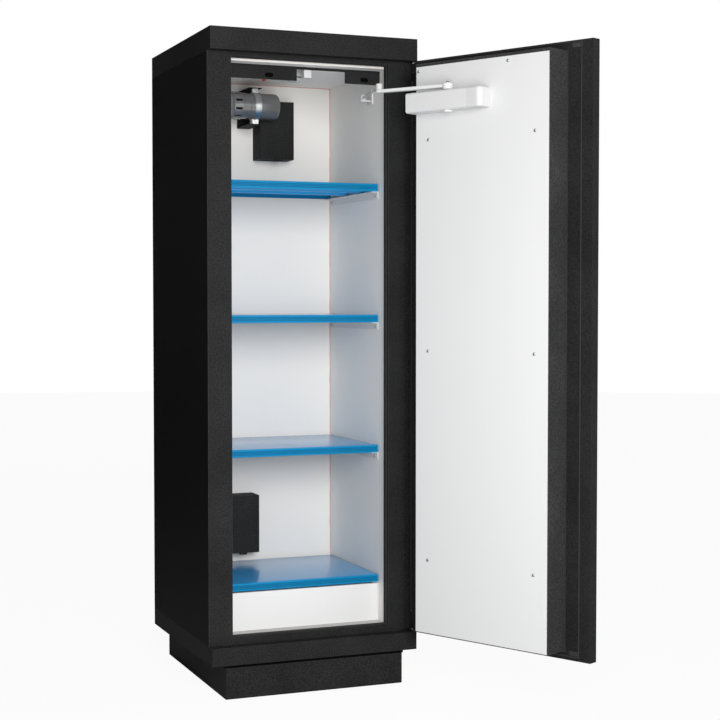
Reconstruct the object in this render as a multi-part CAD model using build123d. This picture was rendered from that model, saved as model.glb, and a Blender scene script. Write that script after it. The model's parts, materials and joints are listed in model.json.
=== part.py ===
from build123d import *
import os
from math import acos, atan2, cos, degrees, radians, sin, sqrt

# A free-standing fire-resistant cabinet for storing batteries, with its door standing open.
# Millimetres, +Z up. The origin is the middle of the plinth's underside, on the floor.
# The door opens at the front, which faces -Y, and its hinges are on the right, at +X.

# Outer sizes. The depth is worked out below from what lies between front and back
width = 600.0
plinth_height = 94.0
base_height = 49.0
cap_height = 60.0
body_height = 1602.0

# Sheet and board thicknesses
skin = 1.5
plate = 2.0
liner = 4.0
tray_flange = 25.0

# Plinth
plinth_side_inset = 41.0
plinth_front_inset = 10.0
plinth_rear_inset = 15.0
plinth_flange = 40.0
plinth_rail_width = 60.0
screw_radius = 6.0
screw_clearance = 0.3
screw_length = 42.0
screw_socket_radius = 3.5
nut_height = 10.0
nut_across_corners = 21.0

# Front frame and the opening that it surrounds
leaf_thickness = 28.0
leaf_gap = 3.0
leaf_end_gap = 2.0
leaf_side_gap = 1.0
free_jamb = 68.0
hinge_jamb = 75.0
head_height = 12.0
sill_height = 20.8
reveal_depth = 34.0
recess_width = 26.0
recess_depth = 6.0
seal_width = 12.0
seal_thickness = 2.0
seal_setback = 9.0

# Inner room
liner_step = 7.0
ceiling_drop = 6.0
floor_drop = 3.8
liner_lip = 2.0
room_depth = 443.0
duct_space = 40.0
back_board = 60.0
panel_return = 20.0

# Head plate behind the opening
head_plate_setback = 46.0
head_plate_height = 39.5
head_plate_flange = 18.0
head_cut_inset = 222.0
head_cut_width = 143.0
head_cut_height = 32.0
slot_length = 25.0
slot_width = 12.6
slot_rise = 12.5
slot_left_inset = 141.0
slot_right_inset = 47.0

# Shelves
shelf_count = 4
first_shelf_rise = 132.5
top_space = 317.0
shelf_setback = 50.0
shelf_rear_gap = 15.0
shelf_fold = 22.0
shelf_lip = 12.0
shelf_side_gap = 3.0
rail_leg = 20.0
rail_thickness = 2.0
rail_front_inset = 5.0
rail_rear_gap = 5.0
rail_screw_inset = 17.0
screw_head_radius = 4.0
screw_head_height = 2.4
kick_setback = 53.0
kick_gap = 4.0
kick_return = 18.0

# Air boxes, ducts and spigots
air_box_width = 107.0
air_box_height = 172.0
air_box_depth = 70.0
outlet_inset = 222.0
outlet_drop = 228.0
inlet_inset = 110.0
inlet_rise = 163.0
air_slot_count = 5
air_slot_width = 6.0
duct_depth = 36.0
duct_wall = 1.0
duct_margin = 6.0
spigot_radius = 37.5
spigot_wall = 1.5
spigot_clearance = 0.3
spigot_height = 45.0
spigot_flange_radius = 47.0
spigot_flange_thickness = 2.0

# Aerosol extinguishing unit
aerosol_radius = 38.0
aerosol_inset = 145.0
aerosol_length = 115.0
can_rim = 5.0
nozzle_length = 30.0
nozzle_radius = 40.0
nozzle_slots = 10
nozzle_slot_width = 7.0
nozzle_wall = 3.0
nozzle_face = 5.0
aerosol_drop = 79.0
aerosol_to_back = 114.0
clamp_width = 18.0
clamp_from_left = 47.0
clamp_thickness = 2.5
clamp_ear_height = 11.0
clamp_ear_thickness = 4.0
clamp_split = 2.0
clamp_bolt_radius = 4.2
clamp_bolt_head = 3.5
bracket_thickness = 3.0
bracket_width = 40.0

# Detectors under the ceiling
detector_inset = 253.0
detector_setback = 155.0
detector_radius = 29.0
detector_height = 27.0
contact_box_inset = 255.5
contact_box_size = 23.0
contact_box_height = 27.0
contact_box_round = 3.0
probe_inset = 225.0
probe_setback = 198.0
probe_length = 50.0
probe_drop = 20.0
probe_radius = 2.5
probe_bulb_radius = 4.5

# Door
open_angle = 116.2
block_depth = 78.0
block_free_margin = 78.8
block_hinge_margin = 77.8
block_foot = 22.0
block_head = 25.0
panel_side_border = 2.0
panel_foot_border = 2.0
panel_head_border = 8.0
smoke_seal_margin = 33.0
smoke_seal_width = 4.0
smoke_seal_height = 2.5
block_seal_width = 5.0
panel_screw_inset = 44.7
panel_screw_foot_rise = 203.0
panel_screw_head_drop = 206.0
panel_screw_top_insets = (10.2, 310.2)
panel_screw_top_drop = 12.0
panel_screw_radius = 4.5

# Hinges, with their axis at the front right corner of the leaf
hinge_setback = 12.0
hinge_height = 50.0
hinge_end_gap = 2.0
knuckle_radius = 6.5
pin_radius = 3.5
pin_clearance = 0.08
hinge_notch = 10.0
hinge_plate = 2.5
hinge_web = 3.0
hinge_split = 0.5
hinge_bite = 1.0
hinge_notch_gap = 1.0

# Door closer and its two-piece arm
closer_length = 207.0
closer_cap_length = 45.0
closer_height = 54.0
closer_depth = 45.0
closer_edge_gap = 1.5
closer_round = 7.0
closer_boss_radius = 12.0
closer_boss_height = 5.0
closer_drop = 145.0
pinion_from_edge = 133.0
pinion_out = 28.0
pinion_radius = 7.0
pinion_clearance = 0.08
pinion_depth = 37.0
pinion_end_gap = 2.0
hub_radius = 14.0
hub_gap = 1.0
hub_proud = 2.0
hub_screw_radius = 6.0
hub_screw_height = 3.0
arm_root_radius = 10.0
arm_tip_radius = 8.0
arm_length = 213.0
arm_thickness = 8.0
arm_rise = 6.0
elbow_radius = 9.0
elbow_height = 16.0
elbow_gap = 0.5
forearm_length = 242.0
forearm_rod_radius = 3.5
sleeve_radius = 5.0
sleeve_start = 85.0
sleeve_length = 60.0
eye_height = 12.0
shoe_setback = 113.0
shoe_reach = 24.0
shoe_width = 36.0
shoe_height = 36.0
shoe_plate = 4.0
shoe_pin_radius = 4.0
shoe_head_radius = 6.5
shoe_head_height = 3.0

# Lock: handle, case, and the bolts that shoot up and down
handle_from_edge = 61.0
handle_rise = 857.0
handle_reach = 48.0
handle_length = 128.0
handle_radius = 9.0
handle_bend = 16.0
handle_gap = 1.0
rose_width = 42.0
rose_height = 190.0
rose_thickness = 6.0
rose_round = 14.0
spindle_radius = 7.0
spindle_depth = 8.0
case_width = 62.0
case_height = 150.0
case_thickness = 20.0
case_margin = 8.0
case_depth = 4.0
case_drop = 93.0
follower_depth = 10.0
follower_clearance = 0.5
bolt_from_edge = 50.0
bolt_radius = 5.0
bolt_clearance = 0.6
bolt_stroke = 18.0
bolt_inner = 30.0
bolt_end_gap = 1.0
bolt_hole_clearance = 2.5
guide_width = 26.0
guide_height = 12.0
guide_thickness = 2.4
guide_gap = 1.0
plug_radius = 7.5
plug_drop = 72.0
plug_depth = 4.0
plug_proud = 1.5
plug_clearance = 0.3
keyway_width = 2.0
keyway_length = 10.0

# Places worked out from the sizes above
back_wall = liner + duct_space + back_board + 2 * skin
depth = leaf_thickness + leaf_gap + reveal_depth + room_depth + back_wall
half_width = width / 2
front = -depth / 2
back = depth / 2
base_foot = plinth_height
body_foot = base_foot + base_height
body_head = body_foot + body_height
total_height = body_head + cap_height
frame_face = front + leaf_thickness + leaf_gap
frame_back = frame_face + reveal_depth
opening_left = -half_width + free_jamb
opening_right = half_width - hinge_jamb
opening_foot = body_foot + sill_height
opening_head = body_head - head_height
room_left = opening_left - liner_step
room_right = opening_right + liner_step
room_foot = opening_foot - floor_drop
room_head = opening_head - ceiling_drop
room_back = frame_back + room_depth
insulation_back_face = room_back + liner + duct_space
shelf_left = room_left + shelf_side_gap
shelf_right = room_right - shelf_side_gap
shelf_front = frame_back + shelf_setback
shelf_rear = room_back - shelf_rear_gap
first_shelf = room_foot + first_shelf_rise
shelf_pitch = (room_head - top_space - first_shelf) / (shelf_count - 1)
shelf_tops = [first_shelf + k * shelf_pitch for k in range(shelf_count)]
rail_front = shelf_front + rail_front_inset
rail_back = room_back - rail_rear_gap
outlet_left = room_left + outlet_inset
outlet_low = room_head - outlet_drop
inlet_left = room_left + inlet_inset
inlet_low = room_foot + inlet_rise
air_boxes = ((outlet_left, outlet_low), (inlet_left, inlet_low))

leaf_left = -half_width + leaf_side_gap
leaf_right = half_width - leaf_side_gap
leaf_foot = body_foot + leaf_end_gap
leaf_head = body_head - leaf_end_gap
leaf_back = front + leaf_thickness
block_left = leaf_left + block_free_margin
block_right = leaf_right - block_hinge_margin
block_low = leaf_foot + block_foot
block_high = leaf_head - block_head
block_face = leaf_back + block_depth

hinge_x = half_width
hinge_y = front + hinge_setback
hinge_axis = Axis((hinge_x, hinge_y, 0), (0, 0, 1))


def slab(x, y, z):
    """A block between two places on each axis."""
    corner = (Align.MIN, Align.MIN, Align.MIN)
    return Pos(x[0], y[0], z[0]) * Box(x[1] - x[0], y[1] - y[0], z[1] - z[0], align=corner)


def rod(radius, start, end):
    """A round bar from one point to another."""
    way = Vector(*end) - Vector(*start)
    foot = (Align.CENTER, Align.CENTER, Align.MIN)
    return Plane(origin=start, z_dir=way) * Cylinder(radius, way.length, align=foot)


def upright(radius, x, y, low, high):
    """A round bar that stands along Z."""
    return rod(radius, (x, y, low), (x, y, high))


def profile(points, low, high):
    """A plan outline, given as corner points, drawn up from one height to another."""
    outline = make_face(Polyline(*points, close=True))
    return Pos(0, 0, low) * extrude(outline, high - low)


def swing(piece):
    """Carries a door piece from where it is with the door shut to where it is in the open door."""
    return piece.rotate(hinge_axis, open_angle)


def swung(x, y):
    """The place in plan where a point of the shut door is when the door stands open."""
    turn = radians(open_angle)
    dx = x - hinge_x
    dy = y - hinge_y
    return (hinge_x + dx * cos(turn) - dy * sin(turn), hinge_y + dx * sin(turn) + dy * cos(turn))


nodes = {}


# Plinth: a welded box of sheet with flanges turned in, a middle rail and a nut in each corner
plinth_x = half_width - plinth_side_inset
plinth_front = front + plinth_front_inset
plinth_back = back - plinth_rear_inset
screw_places = [
    (side * (plinth_x - plinth_flange / 2), y)
    for side in (-1, 1)
    for y in (plinth_front + plinth_flange / 2, plinth_back - plinth_flange / 2)
]


def plinth():
    walls = slab((-plinth_x, plinth_x), (plinth_front, plinth_back), (0, plinth_height))
    walls = fillet(walls.edges().filter_by(Axis.Z), plate)
    inside_x = (-plinth_x + plate, plinth_x - plate)
    inside_y = (plinth_front + plate, plinth_back - plate)
    walls -= slab(inside_x, inside_y, (plate, plinth_height - plate))
    window_x = (-plinth_x + plinth_flange, plinth_x - plinth_flange)
    window_y = (plinth_front + plinth_flange, plinth_back - plinth_flange)
    walls -= slab(window_x, window_y, (plinth_height - plate, plinth_height))
    walls -= slab(window_x, (window_y[0], -plinth_rail_width / 2), (0, plate))
    walls -= slab(window_x, (plinth_rail_width / 2, window_y[1]), (0, plate))
    for x, y in screw_places:
        nut = extrude(RegularPolygon(nut_across_corners / 2, 6), nut_height)
        walls += Pos(x, y, plate) * nut
        walls -= upright(screw_radius + screw_clearance, x, y, 0, plate + nut_height)
    return walls


def levelling_screws():
    screws = []
    for x, y in screw_places:
        hexagon = RegularPolygon(screw_socket_radius, 6)
        socket = Pos(x, y, screw_length - screw_radius) * extrude(hexagon, screw_radius)
        shank = upright(screw_radius, x, y, 0, screw_length)
        screws.append(shank - socket)
    return screws


nodes["plinth"] = plinth()
nodes["levelling_screws"] = levelling_screws()


# Base band and top cap: folded trays as deep as the cabinet, whose front ledges the door shuts between
bolt_x = leaf_left + bolt_from_edge
bolt_y = front + leaf_thickness / 2
bolt_hole = bolt_radius + bolt_hole_clearance


def tray(low, high, ledge_low):
    """A closed tray of sheet, open on the side of its ledge behind the door."""
    shell = slab((-half_width, half_width), (front, back), (low, high))
    shell = fillet(shell.edges().filter_by(Axis.Z), skin)
    inside = (-half_width + skin, half_width - skin)
    shell -= slab(inside, (front + skin, back - skin), (low + skin, high - skin))
    window_x = (-half_width + tray_flange, half_width - tray_flange)
    window_y = (frame_face + plate, back - tray_flange)
    shell -= slab(window_x, window_y, (ledge_low, ledge_low + skin))
    return shell - upright(bolt_hole, bolt_x, bolt_y, ledge_low, ledge_low + skin)


spigot_y = (room_back + liner + insulation_back_face) / 2
outlet_x = outlet_left + air_box_width / 2
inlet_x = inlet_left + air_box_width / 2
spigot_places = [(outlet_x, spigot_y), (inlet_x, spigot_y)]


def top_cap():
    cap = tray(body_head, total_height, body_head)
    for x, y in spigot_places:
        cap -= upright(spigot_radius + spigot_clearance, x, y, total_height - skin, total_height)
    return cap


nodes["base_band"] = tray(base_foot, body_foot, body_foot - skin)
nodes["top_cap"] = top_cap()


# Outer skins of the body: two side panels with folded rear returns, and a rear panel between them
def side_panel(side, start):
    outer = side * half_width
    inner = side * (half_width - skin)
    fold = side * (half_width - panel_return)
    points = [
        (outer, start),
        (outer, back),
        (fold, back),
        (fold, back - skin),
        (inner, back - skin),
        (inner, start),
    ]
    return profile(points, body_foot, body_head)


nodes["side_panel_left"] = side_panel(-1, frame_face + plate)
nodes["side_panel_right"] = side_panel(1, frame_face + plate + recess_depth)
nodes["rear_panel"] = slab(
    (-half_width + skin, half_width - skin), (back - 2 * skin, back - skin), (body_foot, body_head)
)


# Front frame: a face sheet round the opening with returns into it, stepped back along the hinge side
recess_left = half_width - recess_width


def front_frame():
    rim_x = (opening_left - plate, opening_right + plate)
    rim_z = (opening_foot - plate, opening_head + plate)
    frame = slab((-half_width, recess_left), (frame_face, frame_face + plate), (body_foot, body_head))
    frame += slab(rim_x, (frame_face, frame_back), rim_z)
    step = [
        (recess_left - plate, frame_face),
        (recess_left, frame_face),
        (recess_left, frame_face + recess_depth),
        (half_width, frame_face + recess_depth),
        (half_width, frame_face + recess_depth + plate),
        (recess_left - plate, frame_face + recess_depth + plate),
    ]
    frame += profile(step, body_foot, body_head)
    opening_x = (opening_left, opening_right)
    return frame - slab(opening_x, (front, frame_back), (opening_foot, opening_head))


def frame_seal():
    seal_y = (frame_face + seal_setback, frame_face + seal_setback + seal_width)
    outer = slab((opening_left, opening_right), seal_y, (opening_foot, opening_head))
    inner_x = (opening_left + seal_thickness, opening_right - seal_thickness)
    inner_z = (opening_foot + seal_thickness, opening_head - seal_thickness)
    return outer - slab(inner_x, seal_y, inner_z)


nodes["front_frame"] = front_frame()
nodes["frame_seal"] = frame_seal()


# Insulating boards between the skins and the white liners, rebated into the trays at both ends
board_left = -half_width + skin
board_right = half_width - skin
board_back = back - 2 * skin
board_foot = room_foot - liner
board_head = room_head + liner
board_front = frame_face + plate + recess_depth
rebate_x = (room_left - liner, room_right + liner)
board_x = (board_left, board_right)
board_y = (board_front, board_back)
board_z = (body_foot, body_head)
tray_y = (front + skin, back - skin)


def insulation_top():
    board = slab(board_x, tray_y, (body_head + skin, total_height - skin))
    board += slab(rebate_x, (frame_back + liner_lip, back - tray_flange), (board_head, body_head + skin))
    board -= upright(bolt_hole, bolt_x, bolt_y, body_head, body_head + 2 * bolt_stroke)
    for x, y in spigot_places:
        board -= upright(spigot_radius + spigot_clearance, x, y, board_head, total_height)
    return board


def insulation_bottom():
    board = slab(board_x, tray_y, (base_foot + skin, body_foot - skin))
    board += slab(rebate_x, (frame_back, back - tray_flange), (body_foot - skin, board_foot))
    return board - upright(bolt_hole, bolt_x, bolt_y, body_foot - 2 * bolt_stroke, body_foot)


nodes["insulation_left"] = slab((board_left, rebate_x[0]), board_y, board_z)
nodes["insulation_right"] = slab((rebate_x[1], board_right), board_y, board_z)
nodes["insulation_back"] = slab(rebate_x, (insulation_back_face, board_back), (board_foot, board_head))
nodes["insulation_top"] = insulation_top()
nodes["insulation_bottom"] = insulation_bottom()


# White liners of the room: side walls and ceiling with a narrow front lip, rear wall and floor
def side_liner(inner, side):
    outer = inner + side * liner
    lip = inner - side * (liner_step - plate)
    points = [
        (outer, frame_back),
        (outer, room_back),
        (inner, room_back),
        (inner, frame_back + liner_lip),
        (lip, frame_back + liner_lip),
        (lip, frame_back),
    ]
    return profile(points, room_foot, room_head)


def rear_liner():
    wall = slab(rebate_x, (room_back, room_back + liner), (room_foot, room_head))
    for left, low in air_boxes:
        hole_x = (left + duct_margin, left + air_box_width - duct_margin)
        hole_z = (low + duct_margin, low + air_box_height - duct_margin)
        wall -= slab(hole_x, (room_back, room_back + liner), hole_z)
    return wall


def level_liner(low, lip_low, lip_high):
    """The ceiling or the floor, with the upstand that meets the frame's return."""
    sheet = slab(rebate_x, (frame_back, room_back + liner), (low, low + liner))
    lip_y = (frame_back, frame_back + liner_lip)
    return sheet + slab((opening_left, opening_right), lip_y, (lip_low, lip_high))


nodes["liner_left"] = side_liner(room_left, -1)
nodes["liner_right"] = side_liner(room_right, 1)
nodes["liner_back"] = rear_liner()
nodes["liner_ceiling"] = level_liner(room_head, board_head, opening_head + plate)
nodes["liner_floor"] = level_liner(board_foot, room_foot, opening_foot)


# Head plate: black folded sheet under the ceiling, with a cut-out and two slots
head_plate_y = frame_back + head_plate_setback
head_cut_left = room_left + head_cut_inset


def head_plate():
    room_x = (room_left, room_right)
    face_y = (head_plate_y, head_plate_y + plate)
    foot = room_head - head_plate_height
    face = slab(room_x, face_y, (foot, room_head))
    face -= slab((head_cut_left, head_cut_left + head_cut_width), face_y, (foot, foot + head_cut_height))
    for x in (room_left + slot_left_inset, room_right - slot_right_inset):
        slot = extrude(SlotOverall(slot_length, slot_width), plate)
        face -= Pos(x, head_plate_y + plate, foot + slot_rise) * Rot(X=90) * slot
    flange_y = (head_plate_y, head_plate_y + head_plate_flange)
    return face + slab(room_x, flange_y, (room_head - plate, room_head))


nodes["head_plate"] = head_plate()


# Kick panel: white sheet that closes the space under the bottom shelf
kick_front = frame_back + kick_setback
kick_top = shelf_tops[0] - shelf_fold - kick_gap


def kick_panel():
    face = slab((room_left, room_right), (kick_front, kick_front + skin), (room_foot, kick_top))
    fold_x = (room_left + rail_leg + kick_gap, room_right - rail_leg - kick_gap)
    return face + slab(fold_x, (kick_front, kick_front + kick_return), (kick_top - skin, kick_top))


nodes["kick_panel"] = kick_panel()


# Shelves: folded trays turned down, on angle rails screwed to the side liners
def shelf(top):
    foot = top - shelf_fold
    pan = slab((shelf_left, shelf_right), (shelf_front, shelf_rear), (foot, top))
    inside_x = (shelf_left + skin, shelf_right - skin)
    pan -= slab(inside_x, (shelf_front + skin, shelf_rear - skin), (foot + skin, top - skin))
    return pan - slab(inside_x, (shelf_front + shelf_lip, shelf_rear - shelf_lip), (foot, foot + skin))


def shelf_rail(wall, side, top):
    seat = top - shelf_fold
    points = [
        (0, 0),
        (rail_leg, 0),
        (rail_leg, -rail_thickness),
        (rail_thickness, -rail_thickness),
        (rail_thickness, -rail_leg),
        (0, -rail_leg),
    ]
    section = make_face(Polyline(*[(wall - side * x, z + seat) for x, z in points], close=True))
    return Pos(0, rail_front, 0) * extrude(Plane.XZ * section, rail_front - rail_back)


def rail_screw(wall, side, y, z):
    face = wall - side * rail_thickness
    return rod(screw_head_radius, (face, y, z), (face - side * screw_head_height, y, z))


for number, top in enumerate(shelf_tops, start=1):
    nodes[f"shelf_{number}"] = shelf(top)

walls = ((room_left, -1), (room_right, 1))
screw_rows = (rail_front + rail_screw_inset, rail_back - rail_screw_inset)
nodes["shelf_rails"] = [shelf_rail(wall, side, top) for top in shelf_tops for wall, side in walls]
nodes["rail_screws"] = [
    rail_screw(wall, side, y, top - shelf_fold - rail_leg / 2 - rail_thickness)
    for top in shelf_tops
    for wall, side in walls
    for y in screw_rows
]


# Air boxes on the rear wall, with slots in the underside, and the ducts behind the wall up to the spigots
def air_box(left, low):
    box_x = (left, left + air_box_width)
    box_y = (room_back - air_box_depth, room_back)
    shell = slab(box_x, box_y, (low, low + air_box_height))
    shell = fillet(shell.edges().filter_by(Axis.Z).group_by(Axis.Y)[0], plate)
    inside_z = (low + skin, low + air_box_height - skin)
    shell -= slab((box_x[0] + skin, box_x[1] - skin), (box_y[0] + skin, box_y[1]), inside_z)
    spacing = air_box_depth / (air_slot_count + 1)
    for k in range(air_slot_count):
        middle = box_y[0] + (k + 1) * spacing
        slot_y = (middle - air_slot_width / 2, middle + air_slot_width / 2)
        shell -= slab((box_x[0] + rail_leg, box_x[1] - rail_leg), slot_y, (low, low + skin))
    return shell


def air_duct(left, low):
    front_face = room_back + liner
    duct_x = (left + duct_margin - duct_wall, left + air_box_width - duct_margin + duct_wall)
    tube = slab(duct_x, (front_face, front_face + duct_depth), (low, board_head))
    inside_x = (duct_x[0] + duct_wall, duct_x[1] - duct_wall)
    inside_y = (front_face + duct_wall, front_face + duct_depth - duct_wall)
    tube -= slab(inside_x, inside_y, (low + duct_wall, board_head))
    hole_z = (low + duct_margin, low + air_box_height - duct_margin)
    return tube - slab(inside_x, (front_face, front_face + duct_wall), hole_z)


def spigot(x, y):
    inner = spigot_radius - spigot_wall
    top = total_height + spigot_height
    collar = upright(spigot_radius, x, y, board_head, top)
    collar += upright(spigot_flange_radius, x, y, total_height, total_height + spigot_flange_thickness)
    return collar - upright(inner, x, y, board_head, top)


nodes["air_outlet_box"] = air_box(outlet_left, outlet_low)
nodes["air_inlet_box"] = air_box(inlet_left, inlet_low)
nodes["air_ducts"] = [air_duct(left, low) for left, low in air_boxes]
nodes["air_spigots"] = [spigot(x, y) for x, y in spigot_places]


# Aerosol unit: a steel can lying along X in a clamp, with a slotted nozzle head at its left end
aerosol_y = room_back - aerosol_to_back
aerosol_z = room_head - aerosol_drop
can_left = room_left + aerosol_inset
can_right = can_left + aerosol_length
lying = Plane(origin=(0, aerosol_y, aerosol_z), x_dir=(1, 0, 0), z_dir=(0, -1, 0))


def turned(points):
    """A round piece about the can's axis, from half its outline as (x, radius)."""
    half = make_face(Polyline(*points, close=True))
    return revolve(lying * half, Axis((0, aerosol_y, aerosol_z), (1, 0, 0)))


def aerosol_can():
    points = [
        (can_left, 0),
        (can_left, aerosol_radius),
        (can_right - can_rim, aerosol_radius),
        (can_right, aerosol_radius - can_rim),
        (can_right, aerosol_radius - 2 * can_rim),
        (can_right - can_rim / 2, aerosol_radius - 2 * can_rim),
        (can_right - can_rim / 2, 0),
    ]
    return turned(points)


def aerosol_nozzle():
    left = can_left - nozzle_length
    inner = left + nozzle_face
    points = [
        (left, 0),
        (left, nozzle_radius - nozzle_face),
        (inner, nozzle_radius),
        (can_left, nozzle_radius),
        (can_left, nozzle_radius - nozzle_wall),
        (inner, nozzle_radius - nozzle_wall),
        (inner, 0),
    ]
    head = turned(points)
    length = nozzle_length - 2 * nozzle_face
    for k in range(nozzle_slots):
        slot = Box(length, nozzle_slot_width, 3 * nozzle_wall)
        slot = Pos((inner + can_left) / 2, 0, nozzle_radius) * slot
        head -= Pos(0, aerosol_y, aerosol_z) * Rot(X=k * 360 / nozzle_slots) * slot
    return head


clamp_centre = can_left + clamp_from_left
clamp_left = clamp_centre - clamp_width / 2
clamp_right = clamp_centre + clamp_width / 2
clamp_outer = aerosol_radius + clamp_thickness
ear_face = clamp_split / 2 + clamp_ear_thickness


def aerosol_clamp():
    band = turned(
        [
            (clamp_left, aerosol_radius),
            (clamp_left, clamp_outer),
            (clamp_right, clamp_outer),
            (clamp_right, aerosol_radius),
        ]
    )
    for side in (-1, 1):
        root = side * (clamp_outer - clamp_thickness / 2)
        low, high = sorted((root, side * (clamp_outer + clamp_ear_height)))
        for half in (-1, 1):
            ear_y = sorted((aerosol_y + half * clamp_split / 2, aerosol_y + half * ear_face))
            band += slab((clamp_left, clamp_right), ear_y, (aerosol_z + low, aerosol_z + high))
    return band


def clamp_bolts():
    bolts = []
    for side in (-1, 1):
        z = aerosol_z + side * (clamp_outer + clamp_ear_height / 2)
        for half in (-1, 1):
            face = aerosol_y + half * ear_face
            start = (clamp_centre, face, z)
            bolts.append(rod(clamp_bolt_radius, start, (clamp_centre, face + half * clamp_bolt_head, z)))
    return bolts


def aerosol_bracket():
    half_gap = clamp_outer + clamp_ear_height
    arm_x = (clamp_centre - bracket_width / 2, clamp_centre + bracket_width / 2)
    arm_y = (aerosol_y - ear_face, room_back)
    top = aerosol_z + half_gap
    low = aerosol_z - half_gap
    bracket = slab(arm_x, arm_y, (top, top + bracket_thickness))
    bracket += slab(arm_x, arm_y, (low - bracket_thickness, low))
    plate_y = (room_back - bracket_thickness, room_back)
    return bracket + slab(arm_x, plate_y, (low - bracket_thickness, top + bracket_thickness))


nodes["aerosol_can"] = aerosol_can()
nodes["aerosol_nozzle"] = aerosol_nozzle()
nodes["aerosol_clamp"] = aerosol_clamp()
nodes["clamp_bolts"] = clamp_bolts()
nodes["aerosol_bracket"] = aerosol_bracket()


# Detectors: a smoke detector, a contact box behind the head plate and a heat probe with a bulb
def smoke_detector():
    y = frame_back + detector_setback
    base = detector_height / 3
    points = [
        (0, 0),
        (detector_radius, 0),
        (detector_radius, -base),
        (detector_radius * 0.86, -base),
        (detector_radius * 0.7, -detector_height * 0.8),
        (detector_radius * 0.45, -detector_height),
        (0, -detector_height),
    ]
    half = make_face(Polyline(*points, close=True))
    return Pos(room_left + detector_inset, y, room_head) * revolve(Plane.XZ * half, Axis.Z)


def contact_box():
    y = head_plate_y + plate
    half = contact_box_size / 2
    top = room_head - plate
    middle = room_left + contact_box_inset
    box_x = (middle - half, middle + half)
    box = slab(box_x, (y, y + contact_box_size), (top - contact_box_height, top))
    return fillet(box.edges().filter_by(Axis.Z), contact_box_round)


def heat_probe():
    probe_x = room_left + probe_inset
    y = frame_back + probe_setback
    start = (probe_x, y, room_head - 2 * probe_radius)
    end = (probe_x - probe_length, y, room_head - probe_drop)
    probe = rod(probe_radius, start, end)
    probe += upright(3 * probe_radius, probe_x, y, room_head - 3 * probe_radius, room_head)
    return probe + Pos(*end) * Sphere(probe_bulb_radius)


nodes["smoke_detector"] = smoke_detector()
nodes["contact_box"] = contact_box()
nodes["heat_probe"] = heat_probe()


# Hinges: each has a bracket in the frame's recess with the lower knuckle, a pin, and a door knuckle
hinge_lows = (leaf_foot + hinge_end_gap, leaf_head - hinge_end_gap - hinge_height)
hinge_half = hinge_height / 2


def hinge_bracket(low):
    bracket = slab(
        (recess_left + hinge_end_gap, half_width - hinge_end_gap / 2),
        (frame_face + recess_depth - hinge_web, frame_face + recess_depth),
        (low, low + hinge_height),
    )
    bracket += slab(
        (half_width - hinge_end_gap / 2 - hinge_web, half_width - hinge_end_gap / 2),
        (hinge_y, frame_face + recess_depth),
        (low, low + hinge_half),
    )
    bracket += upright(knuckle_radius, hinge_x, hinge_y, low, low + hinge_half)
    return bracket - upright(pin_radius, hinge_x, hinge_y, low, low + hinge_half)


def hinge_pin(low):
    return upright(pin_radius, hinge_x, hinge_y, low, low + hinge_height)


def hinge_knuckle(low):
    start = low + hinge_half + hinge_split
    end = low + hinge_height
    knuckle = upright(knuckle_radius, hinge_x, hinge_y, start, end)
    floor_x = hinge_x - hinge_notch
    knuckle += slab((floor_x, floor_x + hinge_plate), (front + skin, leaf_back - skin), (start, end))
    web_x = (floor_x, hinge_x - pin_radius - hinge_bite)
    knuckle += slab(web_x, (hinge_y - hinge_web, hinge_y + hinge_web), (start, end))
    return knuckle - upright(pin_radius + pin_clearance, hinge_x, hinge_y, start, end)


nodes["hinge_brackets"] = [hinge_bracket(low) for low in hinge_lows]
nodes["hinge_pins"] = [hinge_pin(low) for low in hinge_lows]
nodes["hinge_knuckles"] = [swing(hinge_knuckle(low)) for low in hinge_lows]


# Door leaf: a folded tray notched for the hinges, with a flange round the insulated block behind it
handle_x = leaf_left + handle_from_edge
handle_z = body_foot + handle_rise
case_x = (leaf_left + case_margin, leaf_left + case_margin + case_width)
case_y = (front + case_depth, front + case_depth + case_thickness)
case_z = (handle_z - case_drop, handle_z - case_drop + case_height)
plug_z = handle_z - plug_drop


def leaf_body(inset):
    """The leaf's outline with its hinge notches, shrunk all round by an inset."""
    body = slab(
        (leaf_left + inset, leaf_right - inset),
        (front + inset, leaf_back - inset),
        (leaf_foot + inset, leaf_head - inset),
    )
    for low in hinge_lows:
        notch_x = (hinge_x - hinge_notch - inset, half_width)
        notch_z = (low - hinge_notch_gap - inset, low + hinge_height + hinge_notch_gap + inset)
        body -= slab(notch_x, (front, leaf_back), notch_z)
    return body


def block_body(inset, start, end):
    return slab(
        (block_left + inset, block_right - inset), (start, end), (block_low + inset, block_high - inset)
    )


def lock_cut(grow):
    """The room that the lock case, its bolts, spindle and plug take."""
    cut = slab(case_x, case_y, case_z)
    cut += upright(bolt_radius + bolt_clearance + grow, bolt_x, bolt_y, leaf_foot, leaf_head)
    spindle_hole = spindle_radius + follower_clearance + grow
    plug_hole = plug_radius + follower_clearance + grow
    cut += rod(spindle_hole, (handle_x, front, handle_z), (handle_x, case_y[0], handle_z))
    return cut + rod(plug_hole, (handle_x, front, plug_z), (handle_x, case_y[0], plug_z))


def door_leaf():
    leaf = leaf_body(0) - leaf_body(skin)
    leaf -= block_body(skin, leaf_back - skin, leaf_back)
    return leaf - lock_cut(0)


def door_core():
    core = leaf_body(skin) + block_body(skin, leaf_back - 2 * skin, block_face - skin)
    return core - lock_cut(1)


def door_block():
    shell = block_body(0, leaf_back, block_face) - block_body(skin, leaf_back, block_face)
    lip = block_body(0, block_face - skin, block_face)
    return shell + lip - panel_blank()


def panel_blank():
    return slab(
        (block_left + panel_side_border, block_right - panel_side_border),
        (block_face - skin, block_face),
        (block_low + panel_foot_border, block_high - panel_head_border),
    )


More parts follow.
